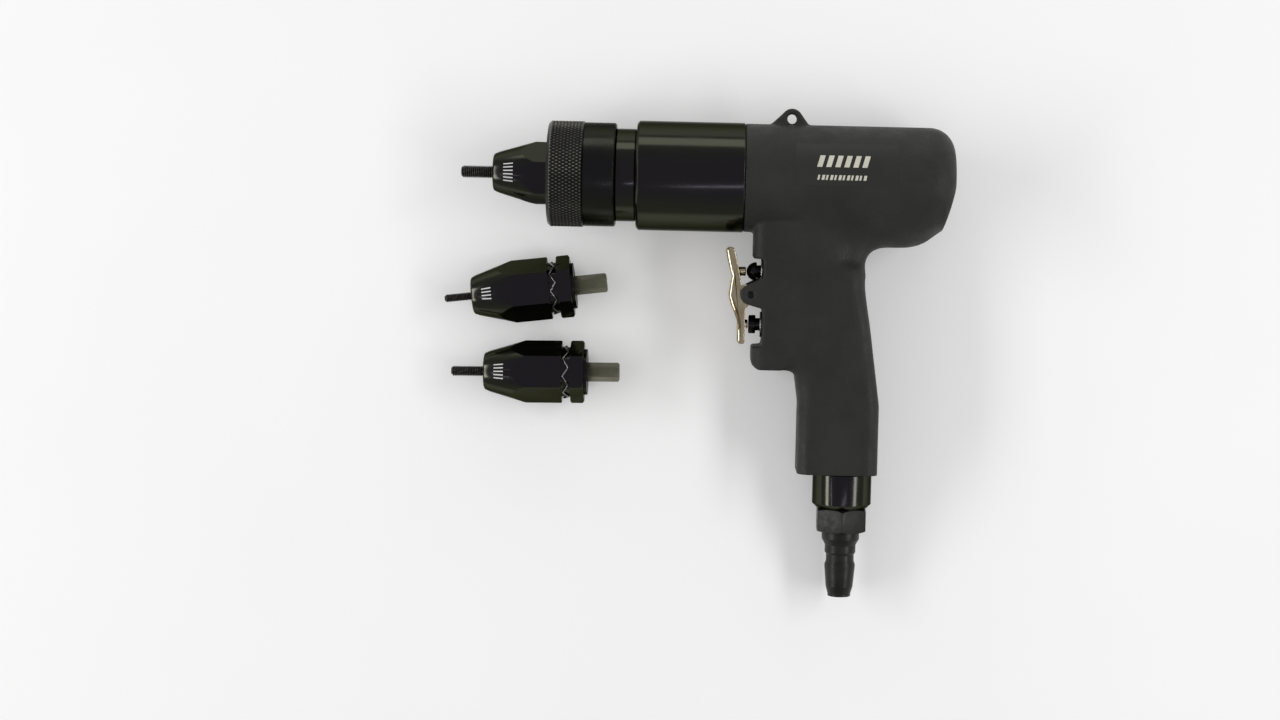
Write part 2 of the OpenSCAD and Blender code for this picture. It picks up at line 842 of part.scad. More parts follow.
module rotor_vanes() {
    color(bronze) lay()
        vane_places(vane_t, rotor_r - 8, rotor_r - 0.05, stator_from + 0.4, stator_to - 0.4);
}

module first_planet_a() { color(bright_steel) lay() planet(first_stage_front, 0); }
module first_planet_b() { color(bright_steel) lay() planet(first_stage_front, 120); }
module first_planet_c() { color(bright_steel) lay() planet(first_stage_front, 240); }
module second_planet_a() { color(bright_steel) lay() planet(second_stage_front, 0); }
module second_planet_b() { color(bright_steel) lay() planet(second_stage_front, 120); }
module second_planet_c() { color(bright_steel) lay() planet(second_stage_front, 240); }

module first_carrier() {
    color(spring_steel) lay() {
        carrier(first_disc_front, first_stage_rear);
        gear(sun_teeth, second_stage_front + 0.2, first_disc_front - second_stage_front + 0.2);
    }
}

module output_spindle() {
    color(spring_steel) lay() difference() {
        union() {
            carrier(second_disc_front, second_stage_rear);
            rod(spindle_r - running_gap, spindle_front, second_disc_front + cut);
        }
        hex_bar_turned(socket_af, spindle_front - cut, nose_at + boss_rear + drive_len + 0.4);
    }
}

// ---------- Trigger and valves ----------

module trigger() {
    rocker = [
        [-10.0, 22.4], [-12.4, 21.4], [-11.3, 15.7], [-10.1, 10.9], [-9.3, 8.6], [-9.9, 5.2],
        [-10.6, -1.0], [-9.2, -5.7], [-8.0, -8.1], [-6.3, -12.8], [-6.2, -22.3], [-5.4, -23.6],
        [-3.0, -23.7], [-2.4, -22.3], [-2.5, -7.0], [0, -4.2], [0, 4.2], [-4.5, 4.2],
        [-5.0, 8.0], [-6.1, 13.0], [-7.6, 20.0], [-8.2, 21.8]
    ];
    color(bright_steel) lay() difference() {
        translate([pivot[0], pivot[1], -trigger_w / 2]) {
            linear_extrude(trigger_w) {
                polygon(rocker);
                circle(r = ear_r - 0.7);
            }
            // Pads that press the two buttons
            for (pad = [[forward_rise, forward_tip], [-reverse_fall, reverse_tip]])
                translate([0, pad[0], trigger_w / 2])
                    rod(pad_r, -6, pad[1] - pivot_back - passing_gap);
        }
        cross_rod(pivot_pin_r + running_gap, pivot, -trigger_w, trigger_w);
    }
}

module trigger_pin() {
    color(dark_oxide) lay() cross_rod(pivot_pin_r, pivot, -block_half + 0.4, block_half - 0.4);
}

module valve_bushes() {
    color(bright_steel) lay() for (depth = [pivot_drop - forward_rise, pivot_drop + reverse_fall])
        translate([0, -depth, 0])
            difference() {
                union() {
                    rod(bush_r, recess_floor - bush_flange_t, bush_to);
                    rod(bush_flange_r, recess_floor - bush_flange_t, recess_floor);
                }
                rod(stem_r + running_gap, 0, bush_to + cut);
            }
}

// Stem and spool behind a button, with the two seal grooves
module valve_stem(from) {
    difference() {
        union() {
            rod(stem_r, from, spool_from + cut);
            rod(spool_r, spool_from, spool_to);
        }
        tube(spool_r + cut, stem_r - 0.4, spool_from + 3.4, spool_to - 3.4);
        for (x = seal_stations)
            wire_ring(spool_r - 0.4, 0.75, x);
    }
}

module valve_seals() {
    for (x = seal_stations)
        wire_ring(spool_r - 0.45, 0.42, x);
}

// Point [radius, x] on the forward button's ball, from its tip at 0 to its flat rear at 1
function ball_point(share) =
    let (angle = share * acos((forward_tip + button_r - button_rear) / button_r))
        [button_r * sin(angle), forward_tip + button_r - button_r * cos(angle)];

module forward_valve() {
    color(dark_oxide) lay() translate([0, pivot[1] + forward_rise, 0]) {
        valve_stem(forward_tip + 2);
        // Ball-shaped button, flat at the rear
        turned(concat(
            [for (x = [0 : ball_steps]) ball_point(x / ball_steps)],
            [[0, button_rear]]
        ));
    }
}

module reverse_valve() {
    color(dark_oxide) lay() translate([0, pivot[1] - reverse_fall, 0]) {
        valve_stem(reverse_tip + 2);
        turned([
            [0, reverse_tip], [button_r - 0.7, reverse_tip], [button_r, reverse_tip + 0.7],
            [button_r, button_rear], [0, button_rear]
        ]);
    }
}

module forward_seals() {
    color(rubber_black) lay() translate([0, pivot[1] + forward_rise, 0]) valve_seals();
}

module reverse_seals() {
    color(rubber_black) lay() translate([0, pivot[1] - reverse_fall, 0]) valve_seals();
}

module valve_spring() {
    coil(spool_r - 1.1, 0.4, spool_to + 0.05, spring_to - 0.05, 4);
}

module forward_spring() {
    color(spring_steel) lay() translate([0, pivot[1] + forward_rise, 0]) valve_spring();
}

module reverse_spring() {
    color(spring_steel) lay() translate([0, pivot[1] - reverse_fall, 0]) valve_spring();
}

// ---------- Air inlet ----------

// Solid of revolution about the inlet's axis from [radius, depth below the barrel axis] points
module inlet_turned(points) {
    translate([inlet_back, 0, 0])
        rotate([90, 0, 0])
            rotate_extrude()
                polygon(points);
}

module exhaust_sleeve() {
    sleeve_from = grip_drop + 0.4;
    color(gloss_black) lay() inlet_turned([
        [adapter_spigot_r + fixed_gap, grip_drop - spigot_up + 0.3],
        [sleeve_spigot_r, grip_drop - spigot_up + 0.3],
        [sleeve_spigot_r, sleeve_from], [sleeve_r, sleeve_from],
        [sleeve_r, sleeve_to - 2.5], [sleeve_r - 2.5, sleeve_to],
        [adapter_spigot_r + fixed_gap, sleeve_to]
    ]);
}

module muffler() {
    color(bronze) lay() inlet_turned([
        [sleeve_spigot_r + 0.1, grip_drop - muffler_len], [muffler_r - 0.1, grip_drop - muffler_len],
        [muffler_r - 0.1, grip_drop + 0.35], [sleeve_spigot_r + 0.1, grip_drop + 0.35]
    ]);
}

module hex_adapter() {
    color(dark_oxide) lay() translate([inlet_back, 0, 0]) difference() {
        union() {
            drop_rod(adapter_spigot_r, 0, sleeve_to - 12, sleeve_to + cut);
            translate([0, -sleeve_to, 0])
                rotate([90, 0, 0])
                    rotate([0, 0, 30])
                        cylinder(r = adapter_af / 2 / cos(30), h = adapter_len, $fn = 6);
        }
        drop_rod(air_r, 0, sleeve_to - 13, adapter_to);
        drop_rod(plug_spigot_r + fixed_gap, 0, adapter_to - 9, adapter_to + cut);
    }
}

module air_plug() {
    color(dark_oxide) lay() inlet_turned([
        [air_r, adapter_to - 8.8], [plug_spigot_r, adapter_to - 8.8], [plug_spigot_r, adapter_to],
        [plug_r + 1.6, adapter_to], [plug_r + 1.6, adapter_to + 3.6], [plug_r, adapter_to + 6.6],
        [plug_r, adapter_to + 10.1], [plug_r - 0.7, adapter_to + 11.2],
        [plug_r - 0.7, adapter_to + 14.2], [plug_r, adapter_to + 16.2],
        [plug_r - 0.9, plug_to - 4.9], [plug_end_r, plug_to - 1.2], [plug_end_r, plug_to],
        [air_r, plug_to]
    ]);
}

// ---------- Noses ----------

// Body of a nose for a mandrel of the radius m
module nose_body(m) {
    face_r = nose_face_d / 2;
    edge = 1.2;
    full_from = (nose_corner_r - face_r) / tan(nose_cone_angle);
    difference() {
        intersection() {
            hex_bar(nose_af, 0, nose_rear);
            turned([
                [0, 0], [face_r - edge, 0], [face_r + edge * tan(nose_cone_angle), edge],
                [nose_corner_r + 0.01, full_from], [nose_corner_r + 0.01, nose_rear - 0.8],
                [nose_corner_r - 1, nose_rear], [0, nose_rear]
            ]);
        }
        tube(nose_corner_r + cut, nose_groove_d / 2, nose_groove_from, nose_flange_from);
        rod(m + running_gap, -cut, cavity_from + cut);
        rod(cavity_r, cavity_from, nose_rear + cut);
    }
}

// Bush that closes a nose's rear and guides the mandrel
module nose_bush() {
    difference() {
        union() {
            rod(cavity_r - fixed_gap, nose_rear - 8, nose_rear + 0.1);
            rod(nose_boss_d / 2, nose_rear, boss_rear);
        }
        rod(mandrel_shank_r + running_gap, nose_rear - 9, boss_rear + cut);
    }
}

// Thrust bearing in front of the mandrel's flange: two washers with balls between them
module thrust_bearing(m) {
    washer_t = 1.1;
    ball_ring_r = (cavity_r + m) / 2 + 0.1;
    for (from = [cavity_from, cavity_from + thrust_len - washer_t])
        tube(cavity_r - 0.2, m + passing_gap, from, from + washer_t);
    for (i = [0 : 7])
        rotate([i * 45, 0, 0])
            translate([cavity_from + thrust_len / 2, ball_ring_r, 0])
                sphere(r = (thrust_len - 2 * washer_t) / 2 - 0.02, $fn = 24);
}

module nose_clip() {
    clip_wire_r = 0.45;
    wire_ring(nose_groove_d / 2 + clip_wire_r + 0.02, clip_wire_r,
        nose_groove_from + nose_groove_w / 2, 30);
}

// Threaded mandrel with its thrust flange and drive hex
module mandrel(m, out) {
    flange_from = cavity_from + thrust_len + 0.05;
    relief_out = 0.4;
    relief_deep = 0.3;
    turned([
        [0, -out], [m - tip_chamfer, -out], [m, tip_chamfer - out], [m, -relief_out],
        [m - relief_deep, -relief_out], [m - relief_deep, relief_out], [m, relief_out], [m, flange_from],
        [mandrel_flange_r, flange_from], [mandrel_flange_r, flange_from + mandrel_flange_len],
        [mandrel_shank_r, flange_from + mandrel_flange_len], [mandrel_shank_r, boss_rear - 0.3],
        [0, boss_rear - 0.3]
    ]);
    hex_bar(drive_af, boss_rear - cut, boss_rear + drive_len);
}

module nose_m6() { color(gloss_black) mounted() nose_body(mandrel_d[0] / 2); }
module nose_bush_m6() { color(dark_oxide) mounted() nose_bush(); }
module thrust_bearing_m6() { color(bright_steel) mounted() thrust_bearing(mandrel_d[0] / 2); }
module nose_clip_m6() { color(spring_steel) mounted() nose_clip(); }
module mandrel_m6() { color(olive_steel) mounted() mandrel(mandrel_d[0] / 2, mandrel_out[0]); }

module second_nose() { on_bench(second_nose_at, second_nose_heading) children(); }
module nose_m5() { color(gloss_black) second_nose() nose_body(mandrel_d[1] / 2); }
module nose_bush_m5() { color(dark_oxide) second_nose() nose_bush(); }
module thrust_bearing_m5() { color(bright_steel) second_nose() thrust_bearing(mandrel_d[1] / 2); }
module nose_clip_m5() { color(spring_steel) second_nose() nose_clip(); }
module mandrel_m5() { color(olive_steel) second_nose() mandrel(mandrel_d[1] / 2, mandrel_out[1]); }

module third_nose() { on_bench(third_nose_at, third_nose_heading) children(); }
module nose_m4() { color(gloss_black) third_nose() nose_body(mandrel_d[2] / 2); }
module nose_bush_m4() { color(dark_oxide) third_nose() nose_bush(); }
module thrust_bearing_m4() { color(bright_steel) third_nose() thrust_bearing(mandrel_d[2] / 2); }
module nose_clip_m4() { color(spring_steel) third_nose() nose_clip(); }
module mandrel_m4() { color(olive_steel) third_nose() mandrel(mandrel_d[2] / 2, mandrel_out[2]); }

housing();
gear_case();
case_seal();
front_barrel();
snap_ring();
lock_balls();
collar();
collar_spring();
ring_gear();
stator();
front_end_plate();
rear_end_plate();
rotor_bearings();
spindle_bearings();
rotor();
rotor_vanes();
first_planet_a();
first_planet_b();
first_planet_c();
first_carrier();
second_planet_a();
second_planet_b();
second_planet_c();
output_spindle();
trigger();
trigger_pin();
valve_bushes();
forward_valve();
forward_seals();
forward_spring();
reverse_valve();
reverse_seals();
reverse_spring();
exhaust_sleeve();
muffler();
hex_adapter();
air_plug();
nose_m6();
nose_bush_m6();
thrust_bearing_m6();
nose_clip_m6();
mandrel_m6();
nose_m5();
nose_bush_m5();
thrust_bearing_m5();
nose_clip_m5();
mandrel_m5();
nose_m4();
nose_bush_m4();
thrust_bearing_m4();
nose_clip_m4();
mandrel_m4();
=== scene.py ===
"""Pneumatic rivet nut gun lying on its side beside two spare noses.

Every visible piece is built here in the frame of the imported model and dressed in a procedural
finish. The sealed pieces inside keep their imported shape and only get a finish.
"""

import json
import logging
import math
from dataclasses import dataclass, field
from enum import Enum
from typing import Callable, Optional, Sequence

import bmesh
import bpy
import numpy as np
from mathutils import Matrix, Vector


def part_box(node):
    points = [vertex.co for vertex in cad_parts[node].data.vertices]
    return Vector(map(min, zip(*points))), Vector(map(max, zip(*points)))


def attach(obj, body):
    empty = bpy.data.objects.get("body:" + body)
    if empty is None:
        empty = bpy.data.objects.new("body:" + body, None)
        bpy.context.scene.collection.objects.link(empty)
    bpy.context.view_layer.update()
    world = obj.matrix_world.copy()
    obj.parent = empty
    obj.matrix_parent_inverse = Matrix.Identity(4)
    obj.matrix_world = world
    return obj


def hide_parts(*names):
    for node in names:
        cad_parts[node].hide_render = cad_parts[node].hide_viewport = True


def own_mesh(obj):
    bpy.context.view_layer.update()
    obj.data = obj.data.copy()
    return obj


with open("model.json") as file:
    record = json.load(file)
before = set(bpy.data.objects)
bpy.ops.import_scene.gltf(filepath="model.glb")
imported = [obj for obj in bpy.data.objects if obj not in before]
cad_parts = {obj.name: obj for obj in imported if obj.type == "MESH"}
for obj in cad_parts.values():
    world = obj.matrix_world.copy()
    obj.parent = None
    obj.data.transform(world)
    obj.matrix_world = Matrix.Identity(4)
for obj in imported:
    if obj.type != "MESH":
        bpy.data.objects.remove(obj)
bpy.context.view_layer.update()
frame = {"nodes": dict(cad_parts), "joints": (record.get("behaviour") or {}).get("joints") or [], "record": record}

MM = 0.001
LOG = logging.getLogger("rivet_nut_gun")

Pair = tuple[float, float]
Colour = tuple[float, float, float]
Relief = Callable[[float, float, float], float]
OXIDE_SHEEN: Colour = (0.34, 0.345, 0.31)


class Slot(Enum):
    """Material slots of the record."""

    HOUSING = "textured_black"
    GLOSS = "gloss_black"
    OXIDE = "black_oxide"
    PHOSPHATE = "phosphate_black"
    CHROME = "chrome"
    OLIVE = "olive_steel"
    BRIGHT = "bright_steel"
    SPRING = "spring_steel"
    IRON = "grey_iron"
    RUBBER = "black_rubber"
    BRONZE = "sintered_bronze"
    VANE = "vane_composite"


class Grain(Enum):
    """Ways that the fine relief of a finish runs."""

    EVEN = "even"
    TURNED = "turned"
    WRINKLE = "wrinkle"


# ---------- Finishes ----------


class NodeSheet:
    """A material's node tree with its shader and its object coordinates ready."""

    def __init__(self, name: str) -> None:
        """Start an empty material.

        Args:
            name: Name of the material.
        """
        self.material = bpy.data.materials.new(name)
        self.material.use_nodes = True
        self.tree = self.material.node_tree
        self.tree.nodes.clear()
        self.shader = self.tree.nodes.new("ShaderNodeBsdfPrincipled")
        output = self.tree.nodes.new("ShaderNodeOutputMaterial")
        self.join(self.shader.outputs["BSDF"], output.inputs["Surface"])
        self.coords = self.tree.nodes.new("ShaderNodeTexCoord").outputs["Object"]

    def join(self, source: bpy.types.NodeSocket, target: bpy.types.NodeSocket) -> None:
        """Link one socket to another."""
        self.tree.links.new(source, target)

    def stretched(self, scale: Sequence[float]) -> bpy.types.NodeSocket:
        """Object coordinates scaled along each axis.

        Args:
            scale: Factor along X, Y and Z.

        Returns:
            The scaled coordinates.
        """
        mapping = self.tree.nodes.new("ShaderNodeMapping")
        mapping.inputs["Scale"].default_value = tuple(scale)
        self.join(self.coords, mapping.inputs["Vector"])
        return mapping.outputs["Vector"]

    def noise(self, source: bpy.types.NodeSocket, scale: float, detail: float = 3.0,
              roughness: float = 0.55) -> bpy.types.NodeSocket:
        """Fractal noise.

        Args:
            source: Coordinates that the noise reads.
            scale: Cycles per metre.
            detail: Octaves.
            roughness: Share that each octave keeps.

        Returns:
            The noise's value, about 0.5 in the mean.
        """
        node = self.tree.nodes.new("ShaderNodeTexNoise")
        node.inputs["Scale"].default_value = scale
        node.inputs["Detail"].default_value = detail
        node.inputs["Roughness"].default_value = roughness
        self.join(source, node.inputs["Vector"])
        return node.outputs["Fac"]

    def cells(self, source: bpy.types.NodeSocket, scale: float) -> bpy.types.NodeSocket:
        """Smooth cells, such as the blisters of a wrinkle paint.

        Args:
            source: Coordinates that the cells read.
            scale: Cells per metre.

        Returns:
            Distance from the nearest cell's middle.
        """
        node = self.tree.nodes.new("ShaderNodeTexVoronoi")
        node.feature = "SMOOTH_F1"
        node.inputs["Scale"].default_value = scale
        self.join(source, node.inputs["Vector"])
        return node.outputs["Distance"]

    def spread(self, value: bpy.types.NodeSocket, low: float, high: float,
               source: Pair = (0.3, 0.7)) -> bpy.types.NodeSocket:
        """Map a value to a range.

        Args:
            value: The value to map.
            low: Result at the start of the source range.
            high: Result at its end.
            source: The value's own range.

        Returns:
            The mapped value.
        """
        node = self.tree.nodes.new("ShaderNodeMapRange")
        node.inputs["From Min"].default_value = source[0]
        node.inputs["From Max"].default_value = source[1]
        node.inputs["To Min"].default_value = low
        node.inputs["To Max"].default_value = high
        self.join(value, node.inputs["Value"])
        return node.outputs["Result"]

    def blended(self, share: bpy.types.NodeSocket, first: Colour,
                second: Colour) -> bpy.types.NodeSocket:
        """Colour that runs between two colours.

        Args:
            share: Share of the second colour.
            first: Colour at share 0.
            second: Colour at share 1.

        Returns:
            The blended colour.
        """
        node = self.tree.nodes.new("ShaderNodeValToRGB")
        node.color_ramp.elements[0].color = (*first, 1.0)
        node.color_ramp.elements[1].color = (*second, 1.0)
        self.join(share, node.inputs["Fac"])
        return node.outputs["Color"]

    def turning_away(self, clouds: bpy.types.NodeSocket) -> bpy.types.NodeSocket:
        """Share that grows where the surface turns away, a little cloudy.

        Args:
            clouds: Clouds that break the share up.

        Returns:
            The share.
        """
        weight = self.tree.nodes.new("ShaderNodeLayerWeight")
        weight.inputs["Blend"].default_value = 0.5
        turned = self.spread(weight.outputs["Facing"], 0.0, 1.0, (0.02, 0.2))
        mix = self.tree.nodes.new("ShaderNodeMix")
        mix.inputs["Factor"].default_value = 0.25
        self.join(turned, mix.inputs[2])
        self.join(clouds, mix.inputs[3])
        return mix.outputs[0]

    def relief(self, height: bpy.types.NodeSocket, depth_mm: float, strength: float) -> None:
        """Press a height pattern into the surface.

        Args:
            height: The pattern.
            depth_mm: Depth of the pattern in millimetres.
            strength: Share of the depth that shows.
        """
        node = self.tree.nodes.new("ShaderNodeBump")
        node.inputs["Distance"].default_value = depth_mm * MM
        node.inputs["Strength"].default_value = strength
        self.join(height, node.inputs["Height"])
        self.join(node.outputs["Normal"], self.shader.inputs["Normal"])


@dataclass(frozen=True)
class Finish:
    """A finish: two close colours, its gloss and its fine relief.

    Attributes:
        name: Name of the material.
        colour: The darker colour.
        second: The lighter colour, which comes and goes over the surface.
        metallic: 1 for bare metal, 0 for paint.
        gloss: Lowest and highest roughness.
        grain: Way that the fine relief runs.
        grain_mm: Size of the fine relief in millimetres.
        relief: Share of the relief that shows.
        cloud_mm: Size of the colour's clouds in millimetres.
        specular: Specular level of the shader.
        coat: Weight of a clear coat, such as an oil film.
        worn: Colour of worn ridges on a piece that has them, or None.
        iridescent: Whether the second colour shows where the surface turns away, as on oxide.
    """

    name: str
    colour: Colour
    second: Colour
    metallic: float
    gloss: Pair
    grain: Grain = Grain.EVEN
    grain_mm: float = 0.4
    relief: float = 0.2
    cloud_mm: float = 12.0
    specular: float = 0.5
    coat: float = 0.0
    worn: Optional[Colour] = None
    iridescent: bool = False

    def material(self) -> bpy.types.Material:
        """Build the finish once and hand out the same material after that.

        Returns:
            The material.
        """
        ready = bpy.data.materials.get(self.name)
        if ready is not None:
            return ready
        sheet = NodeSheet(self.name)
        shader = sheet.shader.inputs
        shader["Metallic"].default_value = self.metallic
        shader["Specular IOR Level"].default_value = self.specular
        shader["Coat Weight"].default_value = self.coat
        shader["Coat Roughness"].default_value = 0.08
        clouds = sheet.noise(sheet.coords, 1000.0 / self.cloud_mm)
        share = sheet.spread(clouds, 0.0, 1.0)
        if self.iridescent:
            share = sheet.turning_away(share)
            shader["Specular Tint"].default_value = (*OXIDE_SHEEN, 1.0)
        colour = sheet.blended(share, self.colour, self.second)
        if self.worn is not None:
            colour = self._worn_colour(sheet, colour)
        sheet.join(colour, shader["Base Color"])
        self._fine_relief(sheet)
        return sheet.material

    def _worn_colour(self, sheet: NodeSheet,
                     colour: bpy.types.NodeSocket) -> bpy.types.NodeSocket:
        """Lighten the ridges that a piece marks with its wear attribute.

        Args:
            sheet: The material's node sheet.
            colour: Colour of the rest of the surface.

        Returns:
            The colour with the ridges worn.
        """
        wear = sheet.tree.nodes.new("ShaderNodeAttribute")
        wear.attribute_name = "wear"
        mix = sheet.tree.nodes.new("ShaderNodeMix")
        mix.data_type = "RGBA"
        sheet.join(wear.outputs["Fac"], mix.inputs["Factor"])
        sheet.join(colour, mix.inputs[6])
        mix.inputs[7].default_value = (*self.worn, 1.0)
        return mix.outputs[2]

    def _fine_relief(self, sheet: NodeSheet) -> None:
        """Add the fine relief and the roughness that goes with it.

        Args:
            sheet: The material's node sheet.
        """
        scale = 1000.0 / self.grain_mm
        if self.grain is Grain.TURNED:
            height = sheet.noise(sheet.stretched((1.0, 0.03, 0.03)), scale, 2.0)
        elif self.grain is Grain.WRINKLE:
            height = sheet.cells(sheet.coords, scale)
        else:
            height = sheet.noise(sheet.coords, scale, 4.0)
        broad = sheet.noise(sheet.coords, 1000.0 / (self.cloud_mm * 0.4), 4.0)
        sheet.join(sheet.spread(broad, self.gloss[0], self.gloss[1]),
                   sheet.shader.inputs["Roughness"])
        sheet.relief(height, self.grain_mm * 0.25, self.relief)


WRINKLE_PAINT = Finish(
    "wrinkle_paint", (0.016, 0.017, 0.015), (0.026, 0.027, 0.023), 0.0, (0.48, 0.68),
    Grain.WRINKLE, 0.75, 0.9, 25.0, 0.3)
LABEL_FILM = Finish(
    "label_film", (0.020, 0.021, 0.019), (0.025, 0.025, 0.023), 0.0, (0.46, 0.56),
    Grain.WRINKLE, 0.6, 0.25, 30.0, 0.3)
PALE_INK = Finish(
    "pale_ink", (0.55, 0.53, 0.44), (0.66, 0.64, 0.55), 0.0, (0.45, 0.6), relief=0.05)
WHITE_INK = Finish(
    "white_ink", (0.62, 0.63, 0.62), (0.74, 0.75, 0.74), 0.0, (0.4, 0.55), relief=0.05)
GLOSS_OXIDE = Finish(
    "gloss_oxide", (0.032, 0.028, 0.038), (0.043, 0.045, 0.030), 0.95, (0.11, 0.2),
    Grain.TURNED, 0.5, 0.05, 40.0, 0.3, coat=0.05, iridescent=True)
SATIN_OXIDE = Finish(
    "satin_oxide", (0.024, 0.022, 0.027), (0.030, 0.031, 0.022), 0.95, (0.2, 0.32),
    Grain.TURNED, 0.6, 0.08, 20.0, 0.3, coat=0.04, iridescent=True)
KNURL_OXIDE = Finish(
    "knurl_oxide", (0.010, 0.010, 0.010), (0.016, 0.016, 0.014), 0.8, (0.24, 0.38),
    Grain.EVEN, 0.3, 0.12, 8.0, worn=(0.21, 0.205, 0.175))
THREAD_OXIDE = Finish(
    "thread_oxide", (0.012, 0.011, 0.011), (0.018, 0.016, 0.015), 0.8, (0.26, 0.4),
    Grain.EVEN, 0.3, 0.1, 5.0, worn=(0.105, 0.095, 0.088))
PHOSPHATE = Finish(
    "phosphate", (0.008, 0.008, 0.0075), (0.017, 0.017, 0.015), 0.35, (0.3, 0.5),
    Grain.EVEN, 0.35, 0.35, 6.0, 0.35)
NICKEL = Finish(
    "nickel_plate", (0.50, 0.405, 0.25), (0.68, 0.60, 0.44), 1.0, (0.07, 0.14),
    Grain.EVEN, 1.2, 0.06, 7.0)
OLIVE_STEEL = Finish(
    "olive_steel_bar", (0.135, 0.132, 0.090), (0.20, 0.195, 0.14), 0.85, (0.34, 0.46),
    Grain.TURNED, 0.5, 0.12, 7.0)
BRIGHT_STEEL = Finish(
    "bright_steel_ground", (0.40, 0.40, 0.38), (0.54, 0.54, 0.51), 1.0, (0.2, 0.34),
    Grain.TURNED, 0.5, 0.08, 10.0)
SPRING_WIRE = Finish(
    "spring_wire", (0.12, 0.12, 0.12), (0.30, 0.30, 0.29), 1.0, (0.16, 0.3),
    Grain.EVEN, 0.3, 0.1, 3.0)
GREY_IRON = Finish(
    "grey_iron_machined", (0.16, 0.16, 0.16), (0.22, 0.22, 0.22), 0.9, (0.4, 0.55),
    Grain.EVEN, 0.5, 0.25, 8.0)
BLACK_RUBBER = Finish(
    "black_rubber_moulded", (0.015, 0.015, 0.015), (0.022, 0.022, 0.022), 0.0, (0.6, 0.75),
    Grain.EVEN, 0.3, 0.2, 8.0)
BRONZE = Finish(
    "bronze_sintered", (0.26, 0.16, 0.075), (0.36, 0.24, 0.12), 0.9, (0.45, 0.65),
    Grain.WRINKLE, 0.6, 0.6, 6.0)
COMPOSITE = Finish(
    "vane_composite_pressed", (0.10, 0.06, 0.035), (0.15, 0.10, 0.06), 0.0, (0.5, 0.65),
    Grain.EVEN, 0.4, 0.2, 5.0)

DRESSING: dict[Slot, Finish] = {
    Slot.HOUSING: WRINKLE_PAINT, Slot.GLOSS: GLOSS_OXIDE, Slot.OXIDE: SATIN_OXIDE,
    Slot.PHOSPHATE: PHOSPHATE, Slot.CHROME: NICKEL, Slot.OLIVE: OLIVE_STEEL,
    Slot.BRIGHT: BRIGHT_STEEL, Slot.SPRING: SPRING_WIRE, Slot.IRON: GREY_IRON,
    Slot.RUBBER: BLACK_RUBBER, Slot.BRONZE: BRONZE, Slot.VANE: COMPOSITE,
}


# ---------- Shapes ----------


def softened(points: Sequence[Pair], radius: float, closed: bool = False,
             steps: int = 4) -> list[Pair]:
    """Round the corners of an outline.

    Args:
        points: Corners of the outline.
        radius: Radius of the rounding, less where a side is short.
        closed: Whether the last corner joins the first.
        steps: Segments in each rounding.

    Returns:
        The outline with its corners rounded.
    """
    count = len(points)
    result: list[Pair] = []
    for index, corner in enumerate(points):
        if not closed and index in (0, count - 1):
            result.append(corner)
            continue
        here = Vector(corner)
        before = Vector(points[index - 1]) - here
        after = Vector(points[(index + 1) % count]) - here
        half = before.angle(after) / 2.0
        if half > math.radians(88.0) or radius <= 0.0:
            result.append(corner)
            continue
        reach = min(radius / math.tan(half), before.length * 0.45, after.length * 0.45)
        start = here + before.normalized() * reach
        end = here + after.normalized() * reach
        for step in range(steps + 1):
            share = step / steps
            point = start.lerp(here, share).lerp(here.lerp(end, share), share)
            result.append((point.x, point.y))
    return result


